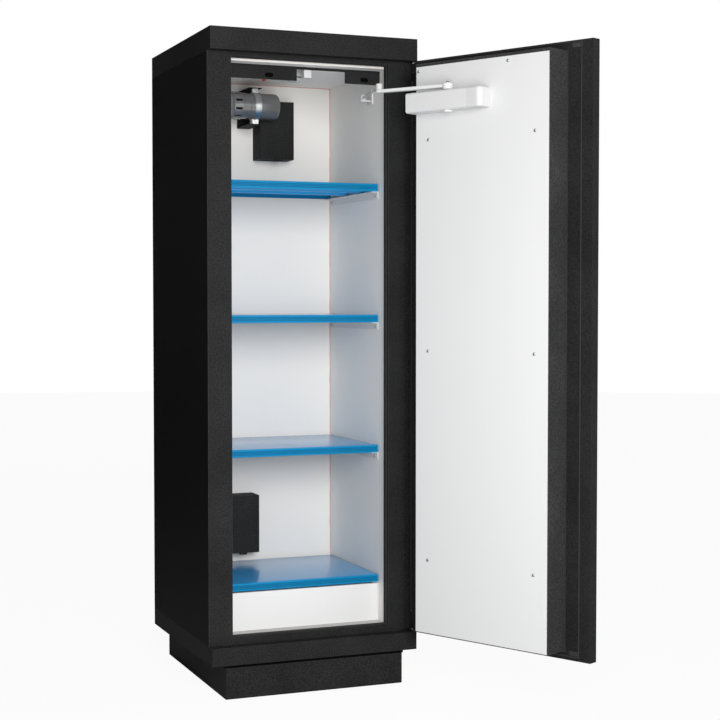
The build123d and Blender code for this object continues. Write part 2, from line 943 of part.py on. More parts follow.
def panel_screw_places():
    columns = (block_left + panel_screw_inset, block_right - panel_screw_inset)
    low = block_low + panel_screw_foot_rise
    high = block_high - panel_screw_head_drop
    top = block_high - panel_head_border - panel_screw_top_drop
    places = [(x, z) for z in (high, (low + high) / 2, low) for x in columns]
    return places + [(block_right - inset, top) for inset in panel_screw_top_insets]


def panel_screws():
    return [
        swing(rod(panel_screw_radius, (x, block_face, z), (x, block_face + screw_head_height, z)))
        for x, z in panel_screw_places()
    ]


smoke_seal_z = (body_foot + sill_height / 2, body_head - head_height / 2 + smoke_seal_width / 2)


def smoke_seal():
    seal_y = (leaf_back, leaf_back + smoke_seal_height)
    outer_x = (leaf_left + smoke_seal_margin, leaf_right - smoke_seal_margin)
    outer_z = smoke_seal_z
    ring = slab(outer_x, seal_y, outer_z)
    return ring - slab(
        (outer_x[0] + smoke_seal_width, outer_x[1] - smoke_seal_width),
        seal_y,
        (outer_z[0] + smoke_seal_width, outer_z[1] - smoke_seal_width),
    )


def block_seal():
    seal_y = (leaf_back, leaf_back + smoke_seal_height)
    ring = slab(
        (block_left - block_seal_width, block_right + block_seal_width / 2),
        seal_y,
        (block_low - block_seal_width, block_high + block_seal_width),
    )
    return ring - block_body(0, *seal_y)


nodes["door_leaf"] = swing(door_leaf())
nodes["door_core"] = swing(door_core())
nodes["door_block"] = swing(door_block())
nodes["door_inner_panel"] = swing(panel_blank())
nodes["panel_screws"] = panel_screws()
nodes["door_seals"] = [swing(smoke_seal()), swing(block_seal())]


# Door closer: body and end cap on the inner panel, with an upright pinion
closer_z = (room_head - closer_drop, room_head - closer_drop + closer_height)
closer_right = block_right - closer_edge_gap
closer_y = (block_face, block_face + closer_depth)
pinion_x = block_right - pinion_from_edge
pinion_y = block_face + pinion_out


def closer_body():
    body = slab((closer_right - closer_length, closer_right), closer_y, closer_z)
    body = fillet(body.edges().filter_by(Axis.X).group_by(Axis.Y)[-1], closer_round)
    boss_foot = closer_z[0] - closer_boss_height
    body += upright(closer_boss_radius, pinion_x, pinion_y, boss_foot, closer_z[0] + skin)
    bore_foot = closer_z[1] - pinion_depth - pinion_end_gap
    return body - upright(pinion_radius + pinion_clearance, pinion_x, pinion_y, bore_foot, closer_z[1])


def closer_cap():
    end = closer_right - closer_length
    cap = slab((end - closer_cap_length, end), closer_y, closer_z)
    cap = fillet(cap.edges().filter_by(Axis.Z).group_by(Axis.X)[0].group_by(Axis.Y)[-1], 2 * closer_round)
    return fillet(cap.edges().filter_by(Axis.X).group_by(Axis.Y)[-1], closer_round)


nodes["closer_body"] = swing(closer_body())
nodes["closer_cap"] = swing(closer_cap())


# Closer arm: hub and flat arm on the pinion, elbow, round forearm, and a shoe on the right-hand wall
shoe_x = room_right - shoe_reach
shoe_y = frame_back + shoe_setback
arm_low = closer_z[1] + arm_rise
arm_high = arm_low + arm_thickness
pinion_open = swung(pinion_x, pinion_y)


def elbow(pinion):
    """Where the two arms meet, on the room's left of the line from the pinion to the shoe."""
    dx = shoe_x - pinion[0]
    dy = shoe_y - pinion[1]
    reach = sqrt(dx * dx + dy * dy)
    turn = acos((arm_length**2 + reach**2 - forearm_length**2) / (2 * arm_length * reach))
    way = atan2(dy, dx) + turn
    return (pinion[0] + arm_length * cos(way), pinion[1] + arm_length * sin(way))


elbow_open = elbow(pinion_open)
elbow_shut = elbow((pinion_x, pinion_y))


def link(start, end, start_radius, end_radius, low, high):
    """A flat bar with round ends, tapering from one radius to the other."""
    ends = Pos(*start) * Circle(start_radius) + Pos(*end) * Circle(end_radius)
    return Pos(0, 0, low) * extrude(make_hull(ends.edges()), high - low)


def closer_arm():
    hub_top = arm_high + hub_proud
    arm = link(pinion_open, elbow_open, arm_root_radius, arm_tip_radius, arm_low, arm_high)
    arm += upright(hub_radius, *pinion_open, closer_z[1] + hub_gap, hub_top)
    arm += upright(pinion_radius, *pinion_open, closer_z[1] - pinion_depth, hub_top)
    return arm + upright(hub_screw_radius, *pinion_open, hub_top, hub_top + hub_screw_height)


forearm_low = arm_high + elbow_gap
forearm_z = forearm_low + elbow_height / 2
eye_low = forearm_z - eye_height / 2


def closer_forearm():
    start = (*elbow_open, forearm_z)
    end = (shoe_x, shoe_y, forearm_z)
    way = (Vector(*end) - Vector(*start)).normalized()
    sleeve = [Vector(*start) + way * reach for reach in (sleeve_start, sleeve_start + sleeve_length)]
    arm = upright(elbow_radius, *elbow_open, forearm_low, forearm_low + elbow_height)
    arm += rod(forearm_rod_radius, start, end)
    arm += rod(sleeve_radius, tuple(sleeve[0]), tuple(sleeve[1]))
    arm += upright(elbow_radius, shoe_x, shoe_y, eye_low, eye_low + eye_height)
    return arm - upright(shoe_pin_radius + pin_clearance, shoe_x, shoe_y, eye_low, eye_low + eye_height)


def closer_shoe():
    tab_top = eye_low - elbow_gap
    tab_low = tab_top - shoe_plate
    wall_low = forearm_z - shoe_height / 2
    shoe = slab(
        (room_right - shoe_plate, room_right),
        (shoe_y - shoe_width / 2, shoe_y + shoe_width / 2),
        (wall_low, wall_low + shoe_height),
    )
    shoe += slab((shoe_x, room_right), (shoe_y - elbow_radius, shoe_y + elbow_radius), (tab_low, tab_top))
    shoe += upright(elbow_radius, shoe_x, shoe_y, tab_low, tab_top)
    pin_top = eye_low + eye_height + elbow_gap
    shoe += upright(shoe_pin_radius, shoe_x, shoe_y, tab_top, pin_top)
    return shoe + upright(shoe_head_radius, shoe_x, shoe_y, pin_top, pin_top + shoe_head_height)


nodes["closer_arm"] = closer_arm()
nodes["closer_forearm"] = closer_forearm()
nodes["closer_shoe"] = closer_shoe()


# Lock: case in the leaf, bolts up and down, guides on the flange, rose, handle and key plug outside
def lock_case():
    case = slab(case_x, case_y, case_z)
    for end, way in ((case_z[0], 1), (case_z[1], -1)):
        low, high = sorted((end, end + way * (bolt_inner + pinion_end_gap)))
        case -= upright(bolt_radius + bolt_clearance, bolt_x, bolt_y, low, high)
    for radius, z in ((spindle_radius, handle_z), (plug_radius, plug_z)):
        mouth = (handle_x, case_y[0], z)
        case -= rod(radius + follower_clearance, mouth, (handle_x, case_y[0] + follower_depth, z))
    return case


def bolt(side):
    if side > 0:
        return upright(bolt_radius, bolt_x, bolt_y, case_z[1] - bolt_inner, leaf_head - bolt_end_gap)
    return upright(bolt_radius, bolt_x, bolt_y, leaf_foot + bolt_end_gap, case_z[0] + bolt_inner)


def bolt_guide(low):
    guide = slab(
        (bolt_x - guide_width / 2, bolt_x + guide_width / 2),
        (leaf_back, leaf_back + guide_thickness),
        (low, low + guide_height),
    )
    return fillet(guide.edges().filter_by(Axis.Y), plate)


def handle_rose():
    rise = (handle_z + plug_z) / 2
    face = extrude(RectangleRounded(rose_width, rose_height, rose_round), rose_thickness)
    rose = Pos(handle_x, front, rise) * Rot(X=90) * face
    spindle_hole = (spindle_radius + follower_clearance, handle_z)
    plug_hole = (plug_radius + plug_clearance, plug_z)
    for radius, z in (spindle_hole, plug_hole):
        rose -= rod(radius, (handle_x, front, z), (handle_x, front - rose_thickness, z))
    return rose


def door_handle():
    outer = front - handle_reach + handle_radius
    start = (handle_x, front - rose_thickness - handle_gap, handle_z)
    corner = (handle_x, outer, handle_z)
    end = (handle_x + handle_length, outer, handle_z)
    path = FilletPolyline(start, corner, end, radius=handle_bend)
    lever = sweep(Plane(origin=start, z_dir=(0, -1, 0)) * Circle(handle_radius), path=path)
    lever += Pos(*end) * Sphere(handle_radius)
    return lever + rod(spindle_radius, (handle_x, case_y[0] + spindle_depth, handle_z), start)


def key_plug():
    outer = front - rose_thickness - plug_proud
    plug = rod(plug_radius, (handle_x, case_y[0] + plug_depth, plug_z), (handle_x, outer, plug_z))
    keyway = slab(
        (handle_x - keyway_width / 2, handle_x + keyway_width / 2),
        (outer, outer + plug_proud),
        (plug_z - keyway_length / 2, plug_z + keyway_length / 2),
    )
    return plug - keyway


nodes["lock_case"] = swing(lock_case())
nodes["bolt_top"] = swing(bolt(1))
nodes["bolt_bottom"] = swing(bolt(-1))
nodes["bolt_guides"] = [
    swing(bolt_guide(low))
    for low in (
        smoke_seal_z[0] + smoke_seal_width + guide_gap,
        smoke_seal_z[1] - smoke_seal_width - guide_gap - guide_height,
    )
]
nodes["handle_rose"] = swing(handle_rose())
nodes["door_handle"] = swing(door_handle())
nodes["key_plug"] = swing(key_plug())


def closer_ratios():
    """Turns of the two arms from open to shut, each as a share of the door's own turn."""
    def heading(a, b):
        return degrees(atan2(b[1] - a[1], b[0] - a[0]))
    pinion_shut = (pinion_x, pinion_y)
    shoe = (shoe_x, shoe_y)
    arm_turn = (heading(pinion_shut, elbow_shut) - heading(pinion_open, elbow_open) + open_angle) % 360
    forearm_turn = (heading(shoe, elbow_shut) - heading(shoe, elbow_open)) % 360 - 360
    return arm_turn / -open_angle, forearm_turn / -open_angle


os.makedirs("parts", exist_ok=True)
for name, shape in nodes.items():
    solids = list(shape) if isinstance(shape, list) else [shape]
    export_step(Compound(children=solids) if len(solids) > 1 else solids[0], f"parts/{name}.step")

arm_ratio, forearm_ratio = closer_ratios()
print("nodes", len(nodes))
print("pinion", pinion_open, "elbow", elbow_open, "elbow shut", elbow_shut, "shoe", (shoe_x, shoe_y))
print("arm ratio", arm_ratio, "forearm ratio", forearm_ratio)
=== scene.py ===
import bmesh
import bpy
import json
from math import ceil, cos, pi, radians, sin
from mathutils import Matrix, Vector

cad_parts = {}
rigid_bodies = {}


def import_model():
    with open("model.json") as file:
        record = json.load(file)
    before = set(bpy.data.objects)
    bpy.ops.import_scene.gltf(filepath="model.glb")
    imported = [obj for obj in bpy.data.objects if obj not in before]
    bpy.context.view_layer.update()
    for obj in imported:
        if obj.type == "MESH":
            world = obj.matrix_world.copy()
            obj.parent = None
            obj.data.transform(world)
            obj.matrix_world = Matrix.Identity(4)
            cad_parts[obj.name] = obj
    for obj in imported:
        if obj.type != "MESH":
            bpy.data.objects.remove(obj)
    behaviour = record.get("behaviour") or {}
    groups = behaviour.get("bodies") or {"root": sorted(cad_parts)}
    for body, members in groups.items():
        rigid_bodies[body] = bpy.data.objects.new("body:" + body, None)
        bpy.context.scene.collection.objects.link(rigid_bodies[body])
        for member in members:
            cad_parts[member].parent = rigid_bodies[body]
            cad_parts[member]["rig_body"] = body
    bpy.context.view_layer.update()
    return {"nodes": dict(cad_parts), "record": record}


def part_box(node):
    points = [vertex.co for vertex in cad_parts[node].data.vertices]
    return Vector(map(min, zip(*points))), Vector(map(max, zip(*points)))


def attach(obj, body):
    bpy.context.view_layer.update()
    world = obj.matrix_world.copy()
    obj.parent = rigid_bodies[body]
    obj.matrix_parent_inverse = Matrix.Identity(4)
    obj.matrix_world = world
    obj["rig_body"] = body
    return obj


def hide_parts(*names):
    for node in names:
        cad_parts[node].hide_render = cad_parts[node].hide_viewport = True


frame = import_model()
nodes = frame["nodes"]


# The studio: a pale floor in a white room, a large soft lamp beside the camera and a small one close in
# front of the opening. The camera stands to the cabinet's left and turns to it, as for the photograph.
camera_place = Vector((-1.4833, -4.3119, 1.0803))
camera_yaw = radians(21.91)
camera_pitch = radians(2.21)
camera_lens = 78.11
floor_reach = 14.0
floor_sides = 96

camera = bpy.data.objects.new("camera", bpy.data.cameras.new("camera"))
bpy.context.scene.collection.objects.link(camera)
camera.data.lens = camera_lens
camera.location = camera_place
look = Vector((
    sin(camera_yaw) * cos(camera_pitch),
    cos(camera_yaw) * cos(camera_pitch),
    -sin(camera_pitch),
))
camera.rotation_euler = look.to_track_quat("-Z", "Y").to_euler()
bpy.context.scene.camera = camera
bpy.context.scene.view_settings.view_transform = "Standard"


class Socket:
    """A shader value that can stand in a sum, so that 1 - mask adds its own Math node."""

    def __init__(self, finish, link):
        self.finish = finish
        self.link = link

    def math(self, operation, *values):
        return self.finish.add("ShaderNodeMath", {"operation": operation}, dict(enumerate(values)))

    def __add__(self, other):
        return self.math("ADD", self, other)

    def __radd__(self, other):
        return self.math("ADD", other, self)

    def __sub__(self, other):
        return self.math("SUBTRACT", self, other)

    def __rsub__(self, other):
        return self.math("SUBTRACT", other, self)

    def __mul__(self, other):
        return self.math("MULTIPLY", self, other)

    def __rmul__(self, other):
        return self.math("MULTIPLY", other, self)

    def __lt__(self, other):
        return self.math("LESS_THAN", self, other)


class Finish:
    """A surface finish while it is mixed: the nodes of one material and its shader."""

    def __init__(self, name, owner=None):
        self.owner = owner or bpy.data.materials.new(name)
        self.owner.use_nodes = True
        self.tree = self.owner.node_tree
        self.tree.nodes.clear()

    def add(self, kind, settings=None, values=None, output=0):
        """Adds one node: its settings first, then the numbers or links of its sockets."""
        node = self.tree.nodes.new(kind)
        for key, value in (settings or {}).items():
            if key == "stops":
                for extra in range(len(value) - 2):
                    node.color_ramp.elements.new(0.5)
                for stop, (place, level) in zip(node.color_ramp.elements, value):
                    stop.position = place
                    stop.color = grey(level)
            else:
                setattr(node, key, value)
        for key, value in (values or {}).items():
            if isinstance(value, Socket):
                self.tree.links.new(value.link, node.inputs[key])
            else:
                node.inputs[key].default_value = value
        return Socket(self, node.outputs[output] if len(node.outputs) else None)

    def place(self, axis=None):
        """The object's own coordinates, or one of them."""
        spot = self.add("ShaderNodeTexCoord", output="Object")
        if axis is None:
            return spot
        return self.add("ShaderNodeSeparateXYZ", values={0: spot}, output="XYZ".index(axis))

    def noise(self, scale, detail=3.0, roughness=0.5, stretch=None):
        """Cloudy noise from 0 to 1, with features about one over the scale across, in metres."""
        spot = self.place()
        if stretch:
            settings = {"operation": "MULTIPLY"}
            spot = self.add("ShaderNodeVectorMath", settings, {0: spot, 1: stretch})
        values = {"Vector": spot, "Scale": scale, "Detail": detail, "Roughness": roughness}
        return self.add("ShaderNodeTexNoise", values=values)

    def blend(self, share, first, second):
        """A colour between two others."""
        values = {"Factor": share, 6: first, 7: second}
        return self.add("ShaderNodeMix", {"data_type": "RGBA"}, values, output=2)

    def bump(self, height, depth):
        """Relief from a height between 0 and 1, over a depth in metres."""
        values = {"Height": height, "Distance": depth, "Strength": 1.0}
        return self.add("ShaderNodeBump", values=values)

    def surface(self, **sockets):
        """The finished shader. Names are the shader's own, with _ for a space."""
        values = {name.replace("_", " "): value for name, value in sockets.items()}
        shader = self.add("ShaderNodeBsdfPrincipled", values=values)
        self.add("ShaderNodeOutputMaterial", values={"Surface": shader})
        return self.owner


def grey(level):
    return (level, level, level, 1)


def floor_finish():
    """Pale, and lifted to nearly white for the camera, so that it shows little but the soft shadow."""
    lift = 0.94
    finish = Finish("pale_floor")
    cloud = finish.noise(1.5)
    colour = finish.blend(cloud, grey(0.80), grey(0.86))
    values = {"Base Color": colour, "Roughness": 0.8, "Specular IOR Level": 0.0}
    matt = finish.add("ShaderNodeBsdfPrincipled", values=values)
    bright = finish.add("ShaderNodeEmission", values={"Color": grey(1.0), "Strength": 1.0})
    seen = finish.add("ShaderNodeLightPath", output="Is Camera Ray")
    shader = finish.add("ShaderNodeMixShader", values={0: lift * seen, 1: matt, 2: bright})
    finish.add("ShaderNodeOutputMaterial", values={"Surface": shader})
    return finish.owner


def room_light():
    """White where it is seen, straight or mirrored, and a soft even light everywhere else."""
    seen_level = 1.0
    light_level = 0.42
    finish = Finish("room", bpy.data.worlds.new("room"))
    path = [finish.add("ShaderNodeLightPath", output=name) for name in
            ("Is Camera Ray", "Is Glossy Ray", "Is Transmission Ray")]
    seen = path[0].math("MAXIMUM", path[0], path[1])
    seen = seen.math("MAXIMUM", seen, path[2])
    level = light_level + (seen_level - light_level) * seen
    shader = finish.add("ShaderNodeBackground", values={"Color": grey(1.0), "Strength": level})
    finish.add("ShaderNodeOutputWorld", values={"Surface": shader})
    return finish.owner


def lamp(name, place, target, size, power):
    light = bpy.data.lights.new(name, "AREA")
    light.shape = "DISK"
    light.size = size
    light.energy = power
    holder = bpy.data.objects.new(name, light)
    holder.location = place
    holder.rotation_euler = (Vector(target) - Vector(place)).to_track_quat("-Z", "Y").to_euler()
    holder.visible_camera = False
    bpy.context.scene.collection.objects.link(holder)


def stage_piece(name, form, finish):
    mesh = bpy.data.meshes.new(name)
    form.to_mesh(mesh)
    form.free()
    mesh.materials.append(finish)
    piece = bpy.data.objects.new(name, mesh)
    bpy.context.scene.collection.objects.link(piece)
    return piece


bpy.context.scene.world = room_light()
lamp("key_lamp", place=(-0.7, -4.9, 1.9), target=(0.05, 0.0, 0.95), size=2.0, power=145)
lamp("fill_lamp", place=(-0.34, -2.3, 1.0), target=(0.2, 0.0, 1.0), size=0.9, power=15)

floor_form = bmesh.new()
bmesh.ops.create_circle(floor_form, cap_ends=True, radius=floor_reach, segments=floor_sides)
stage_piece("floor", floor_form, floor_finish())

# A dark card, unseen by the camera, stands off the cabinet's left side and keeps pale reflections off it.
card_x = -1.05
card_near = -0.2
card_far = 6.0
card_height = 5.0
card_form = bmesh.new()
for y, z in ((card_near, 0.0), (card_far, 0.0), (card_far, card_height), (card_near, card_height)):
    card_form.verts.new((card_x, y, z))
card_form.faces.new(card_form.verts)
card_finish = Finish("dark_card")
dark = card_finish.blend(card_finish.noise(40), grey(0.010), grey(0.014))
card_matt = card_finish.surface(Base_Color=dark, Roughness=0.9, Specular_IOR_Level=0.0)
card = stage_piece("dark_card", card_form, card_matt)
card.visible_camera = False
card.visible_shadow = False


# The black shell: plinth, base band, top cap, front frame, head plate, side and rear panels, folded from
# steel sheet. Their coat is a satin black powder with a fine grain, and a brighter copy of it on the
# rounded folds is a painted highlight. The two side panels take a darker copy of it: painted shade.
powder_black = 0.016
powder_rough = 0.55
fold_radius = 0.0012
hard_edge = radians(40)
flat_within = radians(0.5)
weld_gap = 2e-6


def powder(name, level=powder_black, rough=powder_rough, grain=0.00012):
    """Fine-textured powder coat: grains about a millimetre across over slow, faint clouds."""
    finish = Finish(name)
    grains = finish.noise(900, detail=2.0)
    specks = finish.noise(260, detail=3.0, roughness=0.7)
    cloud = finish.noise(7)
    mixed = 0.35 * grains + 0.5 * specks + 0.15 * cloud
    stops = ((0.36, level * 0.35), (0.5, level), (0.66, level * 2.2))
    colour = finish.add("ShaderNodeValToRGB", {"stops": stops}, {0: mixed})
    height = grains + 0.5 * finish.noise(300, detail=1.0)
    return finish.surface(
        Base_Color=colour,
        Roughness=rough + 0.12 * (grains - 0.5) + 0.05 * cloud,
        Specular_IOR_Level=0.05,
        Normal=finish.bump(height, grain),
    )


black_powder = powder("black_powder")
# A brighter copy of the powder for the rounded folds: a painted highlight along them.
black_highlight_edge = powder("black_powder_painted_highlight", level=0.030, rough=0.45, grain=0.00004)
black_coat = [black_powder, black_highlight_edge]


def add_piece(name, mesh, body, finishes, stands_for=()):
    """Puts a finished mesh in the scene as a piece that rides on a body."""
    for finish in finishes:
        mesh.materials.append(finish)
    piece = bpy.data.objects.new(name, mesh)
    bpy.context.scene.collection.objects.link(piece)
    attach(piece, body)
    if stands_for:
        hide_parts(*stands_for)
    return piece


def plain_mesh(name, form, smooth_below=35):
    """A mesh from a bmesh, smooth over gentle angles and sharp over steep ones."""
    form.normal_update()
    for edge in form.edges:
        steep = len(edge.link_faces) != 2 or edge.calc_face_angle(pi) > radians(smooth_below)
        edge.smooth = not steep
    for face in form.faces:
        face.smooth = True
    mesh = bpy.data.meshes.new(name)
    form.to_mesh(mesh)
    form.free()
    return mesh


def add_form(name, form, body, finishes, stands_for=()):
    """Adds a bmesh as a piece of that name, its faces turned outwards."""
    bmesh.ops.recalc_face_normals(form, faces=form.faces)
    return add_piece(name, plain_mesh(name, form), body, finishes, stands_for)


def welded(node):
    """The surface of a CAD node, with its triangles joined into flat faces again."""
    form = bmesh.new()
    form.from_mesh(nodes[node].data)
    bmesh.ops.remove_doubles(form, verts=form.verts, dist=weld_gap)
    bmesh.ops.dissolve_limit(form, angle_limit=flat_within, verts=form.verts, edges=form.edges)
    clean = bmesh.new()
    corner = {vertex: clean.verts.new(vertex.co) for vertex in form.verts}
    for face in form.faces:
        clean.faces.new([corner[vertex] for vertex in face.verts])
    form.free()
    return clean


def soften(node, finishes, radius=fold_radius, steps=2):
    """Stands in for a CAD node with the same form, its hard edges rounded as real folds are."""
    body = nodes[node]["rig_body"]
    mesh = plain_mesh(node + "_form", welded(node))
    piece = add_piece(node + "_form", mesh, body, finishes, [node])
    bevel = piece.modifiers.new("rounding", "BEVEL")
    bevel.width = radius
    bevel.segments = steps
    bevel.limit_method = "ANGLE"
    bevel.angle_limit = hard_edge
    bevel.harden_normals = True
    # The rounded edges take the second finish, a brighter powder: a painted highlight along the folds.
    if len(finishes) > 1:
        bevel.material = 1
    return piece


# The side panels take a darker copy of the powder, painted shade, with a painted highlight on the folds.
painted_shade_powder = powder("painted_shade_powder", level=0.004)
side_shade_highlight_edge = powder("side_shade_powder_highlight", level=0.010, rough=0.45, grain=0.00004)
for node in ("plinth", "base_band", "top_cap", "rear_panel", "front_frame"):
    soften(node, black_coat)
for node in ("side_panel_left", "side_panel_right"):
    soften(node, [painted_shade_powder, side_shade_highlight_edge])
soften("head_plate", black_coat, radius=0.0005)


# Black sockets line the holes that the door's bolts shoot into: thin steel cups, pressed, powder-coated and
# set in flush with the base band and the top cap.
def turned_form(form, points, pose, segments=32, lobes=None):
    """A turned piece about its own Z, from (radius, height) points, joined into a form. Where lobes gives a
    share for a ring, that ring is drawn in to a cross."""
    rings = []
    for index, (radius, height) in enumerate(points):
        if radius == 0:
            rings.append([form.verts.new(pose @ Vector((0, 0, height)))])
            continue
        share = lobes[index] if lobes else 0
        ring = []
        for k in range(segments):
            turn = 2 * pi * k / segments
            reach = radius * (1 - share * (1 - abs(cos(2 * turn)) ** 4))
            ring.append(form.verts.new(pose @ Vector((reach * cos(turn), reach * sin(turn), height))))
        rings.append(ring)
    for here, there in zip(rings, rings[1:]):
        for k in range(segments):
            after = (k + 1) % segments
            around = ((here, k), (here, after), (there, after), (there, k))
            corners = list(dict.fromkeys(ring[spot % len(ring)] for ring, spot in around))
            if len(corners) > 2:
                form.faces.new(corners)


def facing(place, out):
    """Where a turned piece stands: its foot at a place, and its own Z pointing outwards."""
    return Matrix.Translation(place) @ Vector(out).to_track_quat("Z", "Y").to_matrix().to_4x4()


def joint_named(name):
    """A joint of the part, as its record gives it."""
    joints = frame["record"]["behaviour"]["joints"]
    return next(joint for joint in joints if joint["name"] == name)


socket_radius = 0.0073
socket_bore = 0.0062
socket_start = 0.0002
socket_depth = 0.030
socket_floor = 0.0289
socket_profile = (
    (socket_radius, socket_start), (socket_radius, socket_depth), (0, socket_depth), (0, socket_floor),
    (socket_bore, socket_floor), (socket_bore, socket_start), (socket_radius, socket_start),
)
sockets = bmesh.new()
bolt_low, bolt_high = (Vector(corner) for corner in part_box("bolt_top"))
door_joint = joint_named("door_hinge")
hinge_place = Vector(door_joint["pos_m"])
door_turn = Matrix.Rotation(-radians(door_joint["range_deg"][0]), 4, "Z")
door_pose = Matrix.Translation(hinge_place) @ door_turn @ Matrix.Translation(-hinge_place)
bolt_shut = door_pose.inverted() @ ((bolt_low + bolt_high) / 2)
band_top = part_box("base_band")[1][2]
cap_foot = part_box("top_cap")[0][2]
for ledge, way in ((band_top, -1), (cap_foot, 1)):
    mouth = facing((bolt_shut.x, bolt_shut.y, ledge), (0, 0, way))
    turned_form(sockets, socket_profile, mouth, segments=40)
# The sockets take the same darker powder: painted shade in the holes.
add_form("bolt_sockets", sockets, "cabinet", [painted_shade_powder])


# Shallow black plastic caps close the head plate's two slots. They are moulded with a slight taper and
# clipped in from behind.
def join_rings(form, rings, ends=True):
    """Joins rings of points with faces, each to the next, and closes the two ends."""
    for here, there in zip(rings, rings[1:]):
        for k in range(len(here)):
            after = (k + 1) % len(here)
            form.faces.new((here[k], here[after], there[after], there[k]))
    if ends:
        form.faces.new(rings[0])
        form.faces.new(list(reversed(rings[-1])))


left_slot_inset = 0.141
right_slot_inset = 0.047
slot_rise = 0.0125
slot_cap_set_back = 0.0021
slot_cap_length = 0.030
slot_cap_height = 0.017
slot_cap_depth = 0.004
slot_cap_taper = 0.0015
slot_cap_steps = 24
plate_low, plate_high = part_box("head_plate")
slot_caps = bmesh.new()
for x in (plate_low[0] + left_slot_inset, plate_high[0] - right_slot_inset):
    z = plate_low[2] + slot_rise
    face = plate_low[1] + slot_cap_set_back
    rings = []
    for y, grow in ((face, 0.0), (face + slot_cap_depth, -slot_cap_taper)):
        half_x = slot_cap_length / 2 + grow
        half_z = slot_cap_height / 2 + grow
        ring = []
        for k in range(slot_cap_steps):
            turn = 2 * pi * (k + 0.5) / slot_cap_steps
            side = 1 if cos(turn) > 0 else -1
            across = side * (half_x - half_z) + half_z * cos(turn)
            ring.append(slot_caps.verts.new((x + across, y, z + half_z * sin(turn))))
        rings.append(ring)
    join_rings(slot_caps, rings)
slot_black = powder("slot_black", level=0.0015, rough=0.9)
add_form("slot_caps", slot_caps, "cabinet", [slot_black])


# A black strip, taken to be foam glued round the plinth's head, closes its joint with the base band. Its
# dark line mostly stands for the shadow under the band's overhang: painted shade. It bites a little into
# both, as soft foam does.
shadow_foam_height = 0.009
shadow_foam_slope = 0.00135
shadow_foam_proud = 0.002
shadow_foam_bite = 0.0003
# Near black for the strip: painted shade under the band.
shadow_foam_black = powder("shadow_foam_black", level=0.0015, rough=0.95, grain=0.0003)
plinth_low, plinth_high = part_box("plinth")
shadow_foam_foot = plinth_high[2] - shadow_foam_height
shadow_foam_head = plinth_high[2] + shadow_foam_bite
shadow_foam = bmesh.new()
rings = []
for z, out in (
    (shadow_foam_foot, -shadow_foam_bite),
    (shadow_foam_foot + shadow_foam_slope, shadow_foam_proud),
    (shadow_foam_head, shadow_foam_proud),
    (shadow_foam_head, -shadow_foam_bite),
):
    x0 = plinth_low[0] - out
    x1 = plinth_high[0] + out
    y0 = plinth_low[1] - out
    y1 = plinth_high[1] + out
    rings.append([shadow_foam.verts.new((x, y, z)) for x, y in ((x0, y0), (x1, y0), (x1, y1), (x0, y1))])
join_rings(shadow_foam, rings + rings[:1], ends=False)
add_form("plinth_shadow_foam", shadow_foam, "cabinet", [shadow_foam_black])


# The levelling screws in the plinth: zinc-plated steel, turned and threaded, each with a six-sided socket
# by which it is turned until the cabinet stands level.
def zinc(name, level=0.52, rough=0.34):
    """Zinc plating: silvery with a faint cloudy passivation and fine scratches."""
    finish = Finish(name)
    cloud = finish.noise(90, detail=4.0)
    scratches = finish.noise(700, detail=2.0, stretch=(1, 1, 0.15))
    bright = (level, level, level * 0.97, 1)
    dull = (level * 0.75, level * 0.77, level * 0.8, 1)
    return finish.surface(
        Base_Color=finish.blend(cloud, bright, dull),
        Metallic=1.0,
        Roughness=rough + 0.15 * cloud,
        Normal=finish.bump(scratches, 0.00002),
    )


zinc_plate = zinc("zinc_plate")
soften("levelling_screws", [zinc_plate], radius=0.0005)


# The rear panel's screws: plated pan heads with a cross recess, down both edges and a few along the top and
# bottom, driven into the folds of the shell.
def screw_head(form, place, out, radius, height):
    """A pan head with a cross recess."""
    points = (
        (radius, 0), (radius, height * 0.3), (radius * 0.86, height * 0.75), (radius * 0.62, height),
        (radius * 0.55, height), (radius * 0.45, height * 0.35), (0, height * 0.3),
    )
    turned_form(form, points, facing(place, out), lobes=(0, 0, 0, 0, 0.62, 0.62, 0))


rear_screw_inset = 0.030
rear_screw_end = 0.035
rear_screw_radius = 0.0042
rear_screw_rows = 8
rear_end_row = (-1, -0.33, 0.33, 1)
rear_low, rear_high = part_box("rear_panel")
rear_screw_span = rear_high[2] - rear_low[2] - 2 * rear_screw_end
rear_screw_height = 0.95 * (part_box("side_panel_left")[1][1] - rear_high[1])
rear_screws = bmesh.new()
for k in range(rear_screw_rows):
    z = rear_low[2] + rear_screw_end + rear_screw_span * k / (rear_screw_rows - 1)
    across = rear_end_row if k in (0, rear_screw_rows - 1) else (-1, 1)
    for share in across:
        foot = (share * (rear_high[0] - rear_screw_inset), rear_high[1], z)
        screw_head(rear_screws, foot, (0, 1, 0), rear_screw_radius, rear_screw_height)
add_form("rear_panel_screws", rear_screws, "cabinet", [zinc_plate])


# The seal strips: grey expanding strip with ribs along it, glued in the frame's reveal, round the leaf and
# round the door's block.
strip_ribs = 3
strip_grey = 0.022


def strip_finish():
    finish = Finish("seal_strip")
    felt = finish.noise(700, detail=4.0)
    cloud = finish.noise(25)
    colour = finish.blend(0.5 * felt + 0.5 * cloud, grey(strip_grey * 0.7), grey(strip_grey * 1.3))
    return finish.surface(
        Base_Color=colour,
        Roughness=0.7 + 0.15 * felt,
        Specular_IOR_Level=0.25,
        Normal=finish.bump(felt, 0.00008),
    )


def span(spots):
    """The lowest and highest corner of the box round some points."""
    low = Vector([min(spot[axis] for spot in spots) for axis in range(3)])
    high = Vector([max(spot[axis] for spot in spots) for axis in range(3)])
    return low, high


def shut_box(node):
    """The lowest and highest corner of a door node once the door is shut."""
    back = door_pose.inverted()
    return span([back @ vertex.co for vertex in nodes[node].data.vertices])


